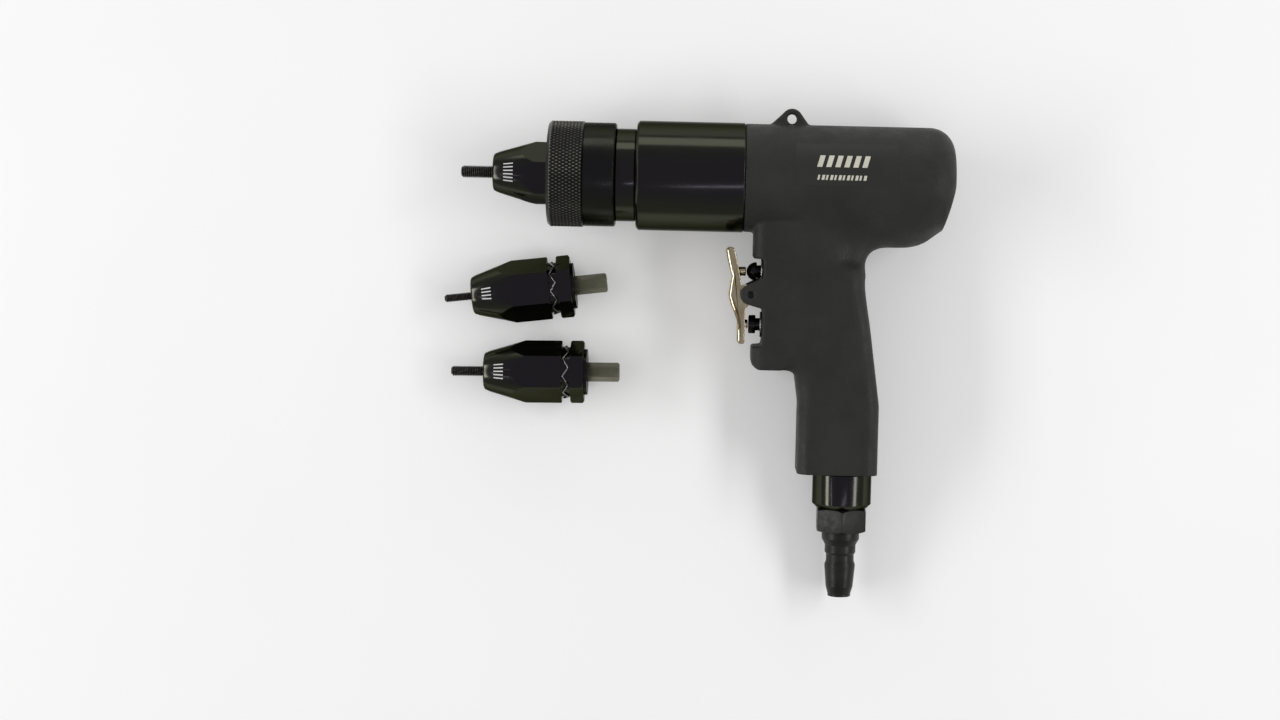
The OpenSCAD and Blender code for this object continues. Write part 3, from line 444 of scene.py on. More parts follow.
class Shape:
    """A closed mesh in millimetres, in the frame of its own sub-assembly."""

    def __init__(self, points: Sequence[Sequence[float]], faces: Sequence[Sequence[int]]) -> None:
        """Make the mesh.

        Args:
            points: Vertices in millimetres.
            faces: Faces as vertex numbers.
        """
        self.mesh = bpy.data.meshes.new("shape")
        self.mesh.from_pydata([tuple(p) for p in points], [], [tuple(f) for f in faces])
        self.mesh.validate()

    @classmethod
    def turned(cls, outline: Sequence[Pair], columns: int,
               relief: Optional[Relief] = None) -> "Shape":
        """Turn an outline about X.

        Args:
            outline: (x, radius) points. A radius of 0 at an end closes it there; otherwise the
                last point joins the first, as on a tube.
            columns: Segments around.
            relief: Depth taken off at (x, angle, radius), if any.

        Returns:
            The turned shape.
        """
        turn = [2.0 * math.pi * c / columns for c in range(columns)]
        points: list[tuple[float, float, float]] = []
        rows: list[list[int]] = []
        for x, radius in outline:
            if radius < 1e-6:
                rows.append([len(points)])
                points.append((x, 0.0, 0.0))
                continue
            rows.append(list(range(len(points), len(points) + columns)))
            for angle in turn:
                r = radius - (relief(x, angle, radius) if relief else 0.0)
                points.append((x, r * math.cos(angle), r * math.sin(angle)))
        if len(rows[0]) > 1:
            rows.append(rows[0])
        faces: list[tuple[int, ...]] = []
        for first, second in zip(rows, rows[1:]):
            for c in range(columns):
                n = (c + 1) % columns
                if len(first) == 1 and len(second) > 1:
                    faces.append((first[0], second[n], second[c]))
                elif len(second) == 1 and len(first) > 1:
                    faces.append((first[c], first[n], second[0]))
                elif len(first) > 1:
                    faces.append((first[c], first[n], second[n], second[c]))
        return cls(points, faces).outward()

    @classmethod
    def lofted(cls, points: Sequence[Sequence[float]], sides: int) -> "Shape":
        """Join rings of vertices, one after another, and cap both ends.

        Args:
            points: The rings' vertices in millimetres, ring by ring.
            sides: Vertices in each ring.

        Returns:
            The shape.
        """
        last = len(points) - sides
        faces: list[tuple[int, ...]] = [
            tuple(range(sides)), tuple(range(len(points) - 1, last - 1, -1))]
        for ring in range(0, last, sides):
            for side in range(sides):
                here, after = ring + side, ring + (side + 1) % sides
                faces.append((here, after, after + sides, here + sides))
        return cls(points, faces).outward()

    @classmethod
    def rolled(cls, outline: Sequence[Pair], half: float, radius: float, rim: float) -> "Shape":
        """Extrude an outline along Z, with a wide rounding on the sides that face -X.

        Args:
            outline: (x, y) corners, in order around the outline.
            half: Half the width.
            radius: Rounding of the sides that face -X.
            rim: Rounding of the other sides.

        Returns:
            The extruded shape.
        """
        corners = [Vector(point) for point in outline]
        count = len(corners)
        area = sum(a.x * b.y - b.x * a.y for a, b in zip(corners, corners[1:] + corners[:1]))
        winding = 1.0 if area > 0 else -1.0
        outward = []
        for index in range(count):
            along = corners[(index + 1) % count] - corners[index - 1]
            outward.append(Vector((along.y, -along.x)).normalized() * winding)
        quarter = [15.0 * step for step in range(7)]
        layers = [(-1.0, turn - 90.0) for turn in quarter] + [(1.0, turn) for turn in quarter]
        points: list[tuple[float, float, float]] = []
        for side, degrees in layers:
            turn = math.radians(degrees)
            for corner, normal in zip(corners, outward):
                share = min(max(-normal.x * 2.0 - 0.4, 0.0), 1.0)
                r = rim + (radius - rim) * share
                at = corner - normal * r * (1.0 - math.cos(turn))
                points.append((at.x, at.y, side * (half - r) + r * math.sin(turn)))
        return cls.lofted(points, count)

    @classmethod
    def hex_bar(cls, flats: float, start: float, end: float, corner: float = 0.0) -> "Shape":
        """Hexagonal bar along X.

        Args:
            flats: Width across the flats.
            start: First X.
            end: Last X.
            corner: Angle of one corner from Y, in degrees.

        Returns:
            The bar.
        """
        radius = flats / 2.0 / math.cos(math.radians(30.0))
        ring = []
        for c in range(6):
            angle = math.radians(corner + 60.0 * c)
            ring.append((radius * math.cos(angle), radius * math.sin(angle)))
        return cls.lofted([(x, y, z) for x in (start, end) for y, z in ring], 6)

    @classmethod
    def wire(cls, path: Sequence[Vector], radius: float, sides: int = 12) -> "Shape":
        """Round wire along a path about X.

        Args:
            path: Points of the wire's middle.
            radius: Radius of the wire.
            sides: Sides of the wire.

        Returns:
            The wire.
        """
        points: list[tuple[float, float, float]] = []
        for before, here, after in zip([path[0], *path], path, [*path[1:], path[-1]]):
            along = (after - before).normalized()
            out = Vector((0.0, here.y, here.z))
            out = (out - along * out.dot(along)).normalized()
            side = along.cross(out)
            for c in range(sides):
                angle = 2.0 * math.pi * c / sides
                points.append(tuple(here + (out * math.cos(angle) + side * math.sin(angle)) * radius))
        return cls.lofted(points, sides)

    def outward(self) -> "Shape":
        """Turn every face outward.

        Returns:
            This shape.
        """
        work = bmesh.new()
        work.from_mesh(self.mesh)
        bmesh.ops.recalc_face_normals(work, faces=work.faces)
        work.to_mesh(self.mesh)
        work.free()
        return self

    def moved(self, x: float = 0.0, y: float = 0.0, z: float = 0.0) -> "Shape":
        """Move the shape.

        Args:
            x: Millimetres along X.
            y: Millimetres along Y.
            z: Millimetres along Z.

        Returns:
            This shape.
        """
        self.mesh.transform(Matrix.Translation((x, y, z)))
        return self

    def spun(self, degrees: float, axis: str) -> "Shape":
        """Turn the shape about an axis through its origin.

        Args:
            degrees: The angle.
            axis: X, Y or Z.

        Returns:
            This shape.
        """
        self.mesh.transform(Matrix.Rotation(math.radians(degrees), 4, axis))
        return self

    def through(self, kind: str, **settings: object) -> "Shape":
        """Apply one modifier.

        Args:
            kind: Blender's name of the modifier.
            **settings: Its settings.

        Returns:
            This shape.
        """
        holder = bpy.data.objects.new("work", self.mesh)
        bpy.context.scene.collection.objects.link(holder)
        modifier = holder.modifiers.new("work", kind)
        for key, value in settings.items():
            setattr(modifier, key, value)
        bpy.context.view_layer.update()
        graph = bpy.context.evaluated_depsgraph_get()
        self.mesh = bpy.data.meshes.new_from_object(holder.evaluated_get(graph))
        bpy.data.objects.remove(holder)
        return self

    def with_tool(self, tool: "Shape", operation: str) -> "Shape":
        """Combine with another shape.

        Args:
            tool: The other shape.
            operation: DIFFERENCE, INTERSECT or UNION.

        Returns:
            This shape.
        """
        other = bpy.data.objects.new("tool", tool.mesh)
        bpy.context.scene.collection.objects.link(other)
        self.through("BOOLEAN", object=other, operation=operation, solver="EXACT")
        bpy.data.objects.remove(other)
        return self

    def cut(self, *tools: "Shape") -> "Shape":
        """Take other shapes away.

        Args:
            *tools: The shapes to take away.

        Returns:
            This shape.
        """
        for tool in tools:
            self.with_tool(tool, "DIFFERENCE")
        return self

    def worn(self, first: float, last: float, radius: float, depth: float) -> "Shape":
        """Mark the tops of turned or rolled ridges, where the oxide wears.

        Args:
            first: First X of the ridges.
            last: Last X of the ridges.
            radius: Radius over the ridges.
            depth: Depth that the wear reaches.

        Returns:
            This shape.
        """
        points = np.empty(len(self.mesh.vertices) * 3)
        self.mesh.vertices.foreach_get("co", points)
        points = points.reshape(-1, 3)
        height = (np.hypot(points[:, 1], points[:, 2]) - radius + depth) / depth
        inside = (points[:, 0] > first) & (points[:, 0] < last)
        layer = self.mesh.attributes.new("wear", "FLOAT", "POINT")
        wear = np.where(inside, np.clip(height, 0.0, 1.0), 0.0).astype(np.float32)
        layer.data.foreach_set("value", wear)
        return self

    def edged(self, width: float, steps: int, angle: float) -> "Shape":
        """Round the sharp edges.

        Args:
            width: Width of the rounding.
            steps: Segments of the rounding.
            angle: Least angle of an edge that is rounded, in degrees.

        Returns:
            This shape.
        """
        return self.through("BEVEL", width=width, segments=steps, limit_method="ANGLE",
                            angle_limit=math.radians(angle), use_clamp_overlap=True,
                            harden_normals=False)


# ---------- Placing ----------


@dataclass
class Bench:
    """Frames of the gun and of the spare noses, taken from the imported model.

    Attributes:
        case_len: Length of the gear case, whose rear face is the gun frame's X = 0.
        inlet_back: Distance of the inlet's axis behind that face.
        gun: The gun's frame, in millimetres along its barrel.
    """

    case_len: float = 51.4
    inlet_back: float = 50.0
    gun: Matrix = field(init=False)

    def __post_init__(self) -> None:
        """Find the gun's frame from its gear case and its trigger's axis."""
        low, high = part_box("gear_case")
        axis = self.joint("trigger_rock")["axis"]
        tilt = math.atan2(-axis[1], axis[2])
        origin = Vector((low.x + self.case_len * MM, (low.y + high.y) / 2, (low.z + high.z) / 2))
        self.gun = (Matrix.Translation(origin) @ Matrix.Rotation(tilt, 4, "X")
                    @ Matrix.Scale(MM, 4))

    @staticmethod
    def joint(name: str) -> dict:
        """The record's entry of a joint."""
        return next(joint for joint in frame["joints"] if joint["name"] == name)

    def inlet(self) -> Matrix:
        """Frame of the air inlet, with X down the grip from the barrel's axis.

        Returns:
            The frame.
        """
        turn = Matrix(((0, 1, 0, 0), (-1, 0, 0, 0), (0, 0, 1, 0), (0, 0, 0, 1)))
        return self.gun @ Matrix.Translation((self.inlet_back, 0, 0)) @ turn

    def mounted_nose(self, front: float, turn: float) -> Matrix:
        """Frame of the nose in the front barrel.

        Args:
            front: Its front face in the gun's frame.
            turn: Its turn about the barrel, in degrees.

        Returns:
            The frame, with X = 0 at the front face.
        """
        return (self.gun @ Matrix.Translation((front, 0, 0))
                @ Matrix.Rotation(math.radians(turn), 4, "X"))

    def bench_nose(self, node: str, spin: str) -> Matrix:
        """Frame of a spare nose that lies on the bench.

        Args:
            node: CAD node of the nose.
            spin: Joint that its mandrel turns on, which runs along the nose's axis.

        Returns:
            The frame, with X = 0 at the front face.
        """
        joint = self.joint(spin)
        on_axis, along = Vector(joint["pos_m"]), Vector(joint["axis"])
        vertices = frame["nodes"][node].data.vertices
        front = on_axis + along * min((v.co - on_axis).dot(along) for v in vertices)
        turn = Matrix.Rotation(math.atan2(along.y, along.x), 4, "Z")
        return Matrix.Translation(front) @ turn @ Matrix.Scale(MM, 4)


def place(shape: Shape, name: str, at: Matrix, finish: Finish, body: str,
          nodes: Sequence[str] = (), crease: float = 30.0) -> bpy.types.Object:
    """Turn a shape into a dressed piece that rides on its body.

    Args:
        shape: The shape, in millimetres.
        name: Name of the piece.
        at: Frame of the sub-assembly.
        finish: Finish of the piece.
        body: CAD body that it rides on.
        nodes: CAD nodes that it stands for.
        crease: Angle above which an edge stays sharp, in degrees.

    Returns:
        The piece.
    """
    mesh = shape.mesh
    mesh.name = name
    mesh.transform(at)
    mesh.shade_smooth()
    mesh.set_sharp_from_angle(angle=math.radians(crease))
    mesh.materials.clear()
    mesh.materials.append(finish.material())
    piece = bpy.data.objects.new(name, mesh)
    bpy.context.scene.collection.objects.link(piece)
    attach(piece, body)
    if nodes:
        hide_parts(*nodes)
    LOG.info("%s rides on %s, %d faces", name, body, len(mesh.polygons))
    return piece


# ---------- Barrel ----------


@dataclass
class GearCase:
    """Polished case around the planetary gears, and the seam where it meets the housing.

    Attributes:
        radius: Outer radius.
        length: Length in front of the housing.
        bore: Radius of the front opening.
    """

    radius: float = 26.0
    length: float = 51.4
    bore: float = 22.45

    def build(self, bench: Bench) -> None:
        """Build the case.

        Args:
            bench: Frames of the sub-assemblies.
        """
        front = -self.length
        outline = [
            (front, self.bore), (front, self.radius - 1.1), (front + 1.1, self.radius),
            (-0.7, self.radius), (0.0, self.radius - 0.7), (0.0, self.bore - 3.0),
            (front + 6.0, self.bore - 3.0), (front + 6.0, self.bore),
        ]
        shape = Shape.turned(softened(outline, 0.35), 192)
        place(shape, "gear_case_shell", bench.gun, GLOSS_OXIDE, "gun", ["gear_case"])


@dataclass
class FrontBarrel:
    """Neck behind the collar, with the tube that holds the nose's hexagon.

    Attributes:
        neck_radius: Radius of the neck.
        neck_front: Front of the neck.
        neck_rear: Rear of the neck.
        tube_radius: Radius of the tube under the collar.
        tube_front: Front end of the tube.
        socket: Width across the flats of the hex socket.
    """

    neck_radius: float = 22.0
    neck_front: float = -61.4
    neck_rear: float = -51.4
    tube_radius: float = 17.21
    tube_front: float = -92.3
    socket: float = 26.3

    def build(self, bench: Bench, turn: float) -> None:
        """Build the neck and its tube.

        Args:
            bench: Frames of the sub-assemblies.
            turn: Turn of the socket about the barrel, in degrees.
        """
        outline = [
            (self.tube_front, 0.0), (self.tube_front, self.tube_radius - 0.5),
            (self.tube_front + 0.5, self.tube_radius), (self.neck_front, self.tube_radius),
            (self.neck_front, self.neck_radius - 0.7), (self.neck_front + 0.7, self.neck_radius),
            (self.neck_rear - 0.8, self.neck_radius), (self.neck_rear - 0.4, self.neck_radius - 0.5),
            (self.neck_rear, self.neck_radius - 0.5), (self.neck_rear, 0.0),
        ]
        shape = Shape.turned(softened(outline, 0.2), 160)
        shape.cut(Shape.hex_bar(self.socket, self.tube_front - 1.0, -70.6).spun(turn, "X"))
        place(shape, "front_barrel_neck", bench.gun, GLOSS_OXIDE, "gun",
              ["front_barrel"])


@dataclass
class Collar:
    """Quick change collar: a diamond knurl in front and a smooth band behind.

    Attributes:
        front: Front face.
        rear: Rear face.
        middle: End of the knurl.
        knurl_radius: Radius over the knurl.
        band_radius: Radius of the smooth band.
        mouth: Radius of the front recess.
        ridge: Radius of the ridge that holds the lock balls in.
        pocket: Radius of the rear bore.
        starts: Number of ridges in each family of the knurl.
        depth: Depth of the knurl.
        helix: Angle of the ridges from the barrel's axis, in degrees.
        columns: Segments across one ridge.
        rows: Segments along the knurl.
    """

    front: float = -93.3
    rear: float = -61.4
    middle: float = -76.7
    knurl_radius: float = 25.1
    band_radius: float = 24.6
    mouth: float = 19.31
    ridge: float = 17.31
    pocket: float = 22.3
    starts: int = 94
    depth: float = 0.46
    helix: float = 28.0
    columns: int = 8
    rows: int = 52

    def _ridges(self, x: float, angle: float, radius: float) -> float:
        """Depth of the knurl at a point.

        Args:
            x: Place along the barrel.
            angle: Angle about the barrel.
            radius: Radius of the row, which tells the knurl from the bores.

        Returns:
            Depth below the ridges' tops.
        """
        if radius < self.knurl_radius - 0.01 or not self.front + 1.5 < x < self.middle - 0.3:
            return 0.0
        around = angle * self.starts / (2.0 * math.pi)
        along = x * math.tan(math.radians(self.helix)) * self.starts / (
            2.0 * math.pi * self.knurl_radius)
        heights = [abs(((around + s * along) % 1.0) * 2.0 - 1.0) for s in (-1.0, 1.0)]
        return self.depth * (1.0 - min(min(heights) * 1.15, 1.0))

    def build(self, bench: Bench) -> None:
        """Build the knurled front and the smooth rear band.

        Args:
            bench: Frames of the sub-assemblies.
        """
        start, end = self.front + 1.45, self.middle - 0.25
        knurl = [(start + (end - start) * n / self.rows, self.knurl_radius)
                 for n in range(self.rows + 1)]
        joint = self.middle + 0.2
        outline = [
            (joint, self.ridge), (self.front + 10.7, self.ridge),
            (self.front + 10.7, self.mouth), (self.front + 0.4, self.mouth),
            (self.front, self.mouth + 0.4), (self.front, self.knurl_radius - 1.2),
            (self.front + 1.2, self.knurl_radius), *knurl,
            (self.middle, self.knurl_radius), (self.middle, self.band_radius - 0.3),
            (joint, self.band_radius - 0.3),
        ]
        front = Shape.turned(outline, self.starts * self.columns, self._ridges)
        front.worn(start, end, self.knurl_radius, self.depth * 0.5)
        place(front, "collar_knurl", bench.gun, KNURL_OXIDE, "collar", ["collar"],
              22.0)
        outline = [
            (joint, self.ridge), (joint, self.band_radius - 0.25),
            (self.middle + 0.6, self.band_radius), (self.rear - 0.7, self.band_radius),
            (self.rear, self.band_radius - 0.7), (self.rear, self.pocket),
            (self.front + 16.9, self.pocket), (self.front + 16.9, self.ridge),
        ]
        band = Shape.turned(softened(outline, 0.15), 176)
        place(band, "collar_band", bench.gun, SATIN_OXIDE, "collar", ["collar"])


# ---------- Housing ----------


@dataclass(frozen=True)
class Fade:
    """Smooth rise along one coordinate, with a fall after it if there is one.

    Attributes:
        rise: Where it leaves its least share and where it reaches 1.
        fall: Where it leaves 1 and where it reaches 0, or None.
        least: Share before the rise.
    """

    rise: Pair
    fall: Optional[Pair] = None
    least: float = 0.0

    @staticmethod
    def _step(value: np.ndarray, low: float, high: float) -> np.ndarray:
        """Smooth step from 0 at low to 1 at high."""
        share = np.clip((value - low) / (high - low), 0.0, 1.0)
        return share * share * (3.0 - 2.0 * share)

    def at(self, value: np.ndarray) -> np.ndarray:
        """Share at each value.

        Args:
            value: The coordinate.

        Returns:
            The shares.
        """
        share = self.least + (1.0 - self.least) * self._step(value, *self.rise)
        return share if self.fall is None else share * (1.0 - self._step(value, *self.fall))


@dataclass(frozen=True)
class Blend:
    """Part of the casting where two forms flow together.

    Attributes:
        x: Fade along the barrel.
        y: Fade from the grip's foot to the barrel.
        z: Fade from the middle plane to the flanks.
        strength: Share of the relaxing.
    """

    x: Fade
    y: Fade
    z: Fade
    strength: float = 1.0

    def at(self, x: np.ndarray, y: np.ndarray, z: np.ndarray) -> np.ndarray:
        """Share of the relaxing at each vertex."""
        return self.x.at(x) * self.y.at(y) * self.z.at(z) * self.strength


@dataclass(frozen=True)
class BarRow:
    """Row of plain printed bars on the label.

    Attributes:
        name: Start of the bars' names.
        digits: Digits of a bar's number in its name.
        count: Number of bars.
        first: Start of the first bar along the barrel.
        step: Distance from bar to bar.
        width: Width of a bar.
        low: Lower edge.
        high: Upper edge.
        lean: Shift of the upper edge along the barrel.
        segments: Segments across and around.
        wider: Width that every second bar has more.
    """

    name: str
    digits: int
    count: int
    first: float
    step: float
    width: float
    low: float
    high: float
    lean: float
    segments: tuple[int, int]
    wider: float = 0.0


@dataclass
class Housing:
    """Painted casting: motor barrel, keel, valve block, grip, trigger ears and hanging lug.

    Attributes:
        voxel: Size of the skin's mesh.
        radius: Radius of the barrel.
        foot: Depth of the grip's foot below the barrel's axis.
        label: First and last X, then lowest and highest Y of the label.
        film: Thickness of the label's film and of its ink.
        rows: Rows of bars on the label.
        edge_rounds: Relaxing passes that round the edges.
        blend_rounds: Relaxing passes that blend the forms.
        front_face: Fade behind the front face, which stays crisp.
        outer: Fade of the distance from the barrel's axis, which keeps the bore as it is.
        blends: The keel's flanks, the rear of the grip, the crease between the valve block and
            the grip, and the block's lower edge.
    """

    voxel: float = 0.62
    radius: float = 25.7
    foot: float = 139.6
    label: tuple[float, float, float, float] = (23.0, 71.0, -3.0, 16.5)
    film: float = 0.06
    rows: tuple[BarRow, ...] = (
        BarRow("label_bar", 1, 6, 33.0, 4.2, 2.4, 5.6, 11.0, 1.6, (3, 8)),
        BarRow("label_tick", 2, 12, 33.2, 1.95, 0.9, -0.4, 1.9, 0.5, (2, 4), 0.4))
    edge_rounds: int = 4
    blend_rounds: int = 260
    front_face: Fade = Fade((0.9, 2.2))
    outer: Fade = Fade((23.4, 24.4))
    blends: tuple[Blend, ...] = (
        Blend(Fade((20.0, 42.0)), Fade((-46.0, -34.0), (-16.0, -7.0)), Fade((3.0, 8.0))),
        Blend(Fade((50.0, 60.0)), Fade((-70.0, -50.0), (-20.0, -8.0)),
              Fade((0.0, 8.0), least=0.25)),
        Blend(Fade((18.0, 26.0), (36.0, 46.0)), Fade((-112.0, -96.0), (-46.0, -34.0)),
              Fade((8.0, 11.0))),
        Blend(Fade((4.0, 8.0), (26.0, 34.0)), Fade((-90.5, -88.5), (-86.0, -80.0)),
              Fade((8.0, 11.0)), 0.35))

    def _eased(self, shape: Shape, weights: Callable[[np.ndarray], np.ndarray],
               rounds: int) -> Shape:
        """Relax the skin where a casting flows from one form into the next.

        Args:
            shape: The skin.
            weights: Share of the relaxing for each vertex, from the vertices' places.
            rounds: Number of passes.

        Returns:
            The skin.
        """
        mesh = shape.mesh
        count = len(mesh.vertices)
        points = np.empty(count * 3)
        mesh.vertices.foreach_get("co", points)
        points = points.reshape(-1, 3)
        edges = np.empty(len(mesh.edges) * 2, dtype=np.int32)
        mesh.edges.foreach_get("vertices", edges)
        edges = edges.reshape(-1, 2)
        near = np.bincount(edges.ravel(), minlength=count).astype(float)[:, None]
        share = weights(points)[:, None] * 0.6
        for _ in range(rounds):
            total = np.empty_like(points)
            for axis in range(3):
                total[:, axis] = (
                    np.bincount(edges[:, 0], points[edges[:, 1], axis], count)
                    + np.bincount(edges[:, 1], points[edges[:, 0], axis], count))
            points += (total / near - points) * share
        mesh.vertices.foreach_set("co", points.ravel())
        mesh.update()
        return shape

    def _edges(self, points: np.ndarray) -> np.ndarray:
        """Share of the edge rounding, which leaves the fitted faces crisp.

        Args:
            points: The vertices' places.

        Returns:
            The shares.
        """
        foot = Fade((0.8 - self.foot, 2.0 - self.foot))
        shares = np.minimum(self.front_face.at(points[:, 0]), foot.at(points[:, 1]))
        return np.maximum(shares, 0.12)

    def _blends(self, points: np.ndarray) -> np.ndarray:
        """Share of the wide blend between the barrel, the keel, the block and the grip.

        Args:
            points: The vertices' places.

        Returns:
            The shares.
        """
        x, y, z = points[:, 0], points[:, 1], np.abs(points[:, 2])
        shares = np.maximum.reduce([blend.at(x, y, z) for blend in self.blends])
        return shares * self.outer.at(np.hypot(y, z))

    def _skin(self, bench: Bench) -> Shape:
        """Even skin over the casting.

        Args:
            bench: Frames of the sub-assemblies.

        Returns:
            The skin, in the gun's frame.
        """
        shape = Shape([], [])
        shape.mesh = frame["nodes"]["housing"].data.copy()
        shape.mesh.transform(bench.gun.inverted())
        shape.through("WELD", merge_threshold=0.001)
        shape.through("REMESH", mode="VOXEL", voxel_size=self.voxel, use_smooth_shade=True)
        self._eased(shape, self._edges, self.edge_rounds)
        return self._eased(shape, self._blends, self.blend_rounds)

    def _patch(self, corners: tuple[float, float, float, float], lean: float, radius: float,
               across: int, around: int) -> Shape:
        """Thin film that follows the barrel.

        Args:
            corners: First and last X, then lowest and highest Y.
            lean: Shift of the upper edge along X.
            radius: Radius of the film.
            across: Segments along X.
            around: Segments around the barrel.

        Returns:
            The film.
        """
        first, last, low, high = corners
        points = []
        for r in (radius, radius + self.film):
            for a in range(around + 1):
                share = a / around
                y = low + (high - low) * share
                for b in range(across + 1):
                    x = first + (last - first) * b / across + lean * share
                    points.append((x, y, math.sqrt(r * r - y * y)))
        row = across + 1
        level = row * (around + 1)
        faces: list[tuple[int, ...]] = []
        for a in range(around):
            for b in range(across):
                c = a * row + b
                faces.append((c, c + 1, c + row + 1, c + row))
                faces.append(tuple(level + n for n in (c, c + row, c + row + 1, c + 1)))
        rim = list(range(row)) + [r * row + across for r in range(1, around + 1)]
        rim += [around * row + b for b in range(across - 1, -1, -1)]
        rim += [r * row for r in range(around - 1, 0, -1)]
        for here, there in zip(rim, rim[1:] + rim[:1]):
            faces.append((here, there, there + level, here + level))
        return Shape(points, faces).outward()

    def _label(self, bench: Bench) -> None:
        """Label film with two rows of plain bars.

        Args:
            bench: Frames of the sub-assemblies.
        """
        film = self._patch(self.label, 0.0, self.radius - 0.02, 24, 16)
        place(film, "label_film", bench.gun, LABEL_FILM, "gun")
        ink = self.radius + self.film / 2.0
        for row in self.rows:
            for number in range(row.count):
                first = row.first + number * row.step
                last = first + row.width + row.wider * (number % 2)
                bar = self._patch((first, last, row.low, row.high), row.lean, ink, *row.segments)
                place(bar, f"{row.name}_{number:0{row.digits}d}", bench.gun, PALE_INK, "gun")

    def build(self, bench: Bench) -> None:
        """Build the skin and its label.

        Args:
            bench: Frames of the sub-assemblies.
        """
        place(self._skin(bench), "housing_skin", bench.gun, WRINKLE_PAINT, "gun",
              ["housing"], 50.0)
        self._label(bench)


# ---------- Trigger and valves ----------


@dataclass
class TriggerGroup:
    """Rocker trigger on its pin, and the two valve buttons that it presses.

    Attributes:
        pivot: The pin's place in the gun's frame.
        width: Width of the trigger.
        pin_radius: Radius of the pin.
        pin_half: Half the pin's length.
        forward_rise: Height of the forward button above the pin.
        reverse_fall: Depth of the reverse button below the pin.
        button_radius: Radius of both buttons.
        button_rear: Rear face of both buttons.
        stem_radius: Radius of the valve stems.
        bush_from: Front face of the bushes' flanges.
        pad_radius: Radius of the trigger's pads.
        rocker: Side outline of the trigger about its pivot.
    """

    pivot: Pair = (3.9, -55.1)
    width: float = 18.0
    pin_radius: float = 1.5
    pin_half: float = 15.6
    forward_rise: float = 10.7
    reverse_fall: float = 14.5
    button_radius: float = 4.4
    button_rear: float = 6.6
    stem_radius: float = 3.0
    bush_from: float = 8.6
    pad_radius: float = 2.2
    rocker: tuple[Pair, ...] = (
        (-10.0, 22.4), (-12.4, 21.4), (-11.3, 15.7), (-10.1, 10.9), (-9.3, 8.6), (-9.9, 5.2),
        (-10.6, -1.0), (-9.2, -5.7), (-8.0, -8.1), (-6.3, -12.8), (-6.2, -22.3), (-5.4, -23.6),
        (-3.0, -23.7), (-2.4, -22.3), (-2.5, -7.0), (0.0, -4.2), (3.0, -3.0), (4.2, 0.0),
        (3.0, 3.0), (0.0, 4.2), (-4.5, 4.2), (-5.0, 8.0), (-6.1, 13.0), (-7.6, 20.0), (-8.2, 21.8))

    def _trigger(self, bench: Bench) -> None:
        """Build the rocker with its pads.

        Args:
            bench: Frames of the sub-assemblies.
        """
        half = self.width / 2.0
        shape = Shape.rolled(softened(self.rocker, 1.1, True), half, 2.0, 0.4)
        for rise, end in ((self.forward_rise, -2.4), (-self.reverse_fall, -1.0)):
            pad = self.pad_radius
            outline = [(-6.0, 0.0), (-6.0, pad), (end, pad), (end, 0.0)]
            shape.with_tool(Shape.turned(softened(outline, 0.5), 40).moved(0, rise), "UNION")
        reach, bore = half + 2.0, self.pin_radius + 0.05
        hole = [(-reach, 0.0), (-reach, bore), (reach, bore), (reach, 0.0)]
        shape.cut(Shape.turned(hole, 40).spun(90.0, "Y"))
        at = bench.gun @ Matrix.Translation((*self.pivot, 0.0))
        place(shape, "trigger_rocker", at, NICKEL, "trigger", ["trigger"])

    def _pin(self, bench: Bench) -> None:
        """Build the pivot pin.

        Args:
            bench: Frames of the sub-assemblies.
        """
        end, r = self.pin_half, self.pin_radius
        outline = [(-end, 0.0), (-end, r), (end, r), (end, 0.0)]
        shape = Shape.turned(softened(outline, 0.45), 40).spun(90.0, "Y")
        at = bench.gun @ Matrix.Translation((*self.pivot, 0.0))
        place(shape, "trigger_pivot_pin", at, SATIN_OXIDE, "gun", ["trigger_pin"])

    def _valve(self, bench: Bench, side: str, height: float, head: list[Pair]) -> None:
        """Build one valve: button, stem and spool, and the bush that guides it.

        Args:
            bench: Frames of the sub-assemblies.
            side: forward or reverse.
            height: Height of the valve in the gun's frame.
            head: Outline of the button from its tip to its rear edge.
        """
        at = bench.gun @ Matrix.Translation((0.0, height, 0.0))
        stem, spool = self.stem_radius, self.stem_radius + 1.15
        spool_from, spool_to = self.bush_from + 11.0, self.bush_from + 22.0
        outline = head + [(self.button_rear, stem), (spool_from, stem), (spool_from, spool),
                          (spool_to, spool), (spool_to, 0.0)]
        shape = Shape.turned(outline, 56)
        place(shape, f"{side}_button", at, SATIN_OXIDE, f"{side}_valve",
              [f"{side}_valve"])
        bore, flange = stem + 0.05, stem + 3.0
        outline = [
            (self.bush_from, bore), (self.bush_from, flange), (self.bush_from + 1.0, flange),
            (self.bush_from + 1.0, flange - 1.0), (self.bush_from + 8.4, flange - 1.0),
            (self.bush_from + 8.4, bore)]
        shape = Shape.turned(softened(outline, 0.3), 64)
        place(shape, f"{side}_bush", at, BRIGHT_STEEL, "gun", ["valve_bushes"])

    def build(self, bench: Bench) -> None:
        """Build the trigger, its pin and both valves.

        Args:
            bench: Frames of the sub-assemblies.
        """
        self._trigger(bench)
        self._pin(bench)
        r = self.button_radius
        centre = 1.8 + r
        ball = [(centre - r * math.cos(a), r * math.sin(a))
                for a in np.linspace(0.0, math.pi / 2, 14)]
        self._valve(bench, "forward", self.pivot[1] + self.forward_rise,
                    ball + [(self.button_rear, r)])
        head = softened([(3.2, 0.0), (3.2, r), (self.button_rear, r), (self.button_rear, 3.2)], 0.7)
        self._valve(bench, "reverse", self.pivot[1] - self.reverse_fall, head[:-1])


# ---------- Air inlet ----------


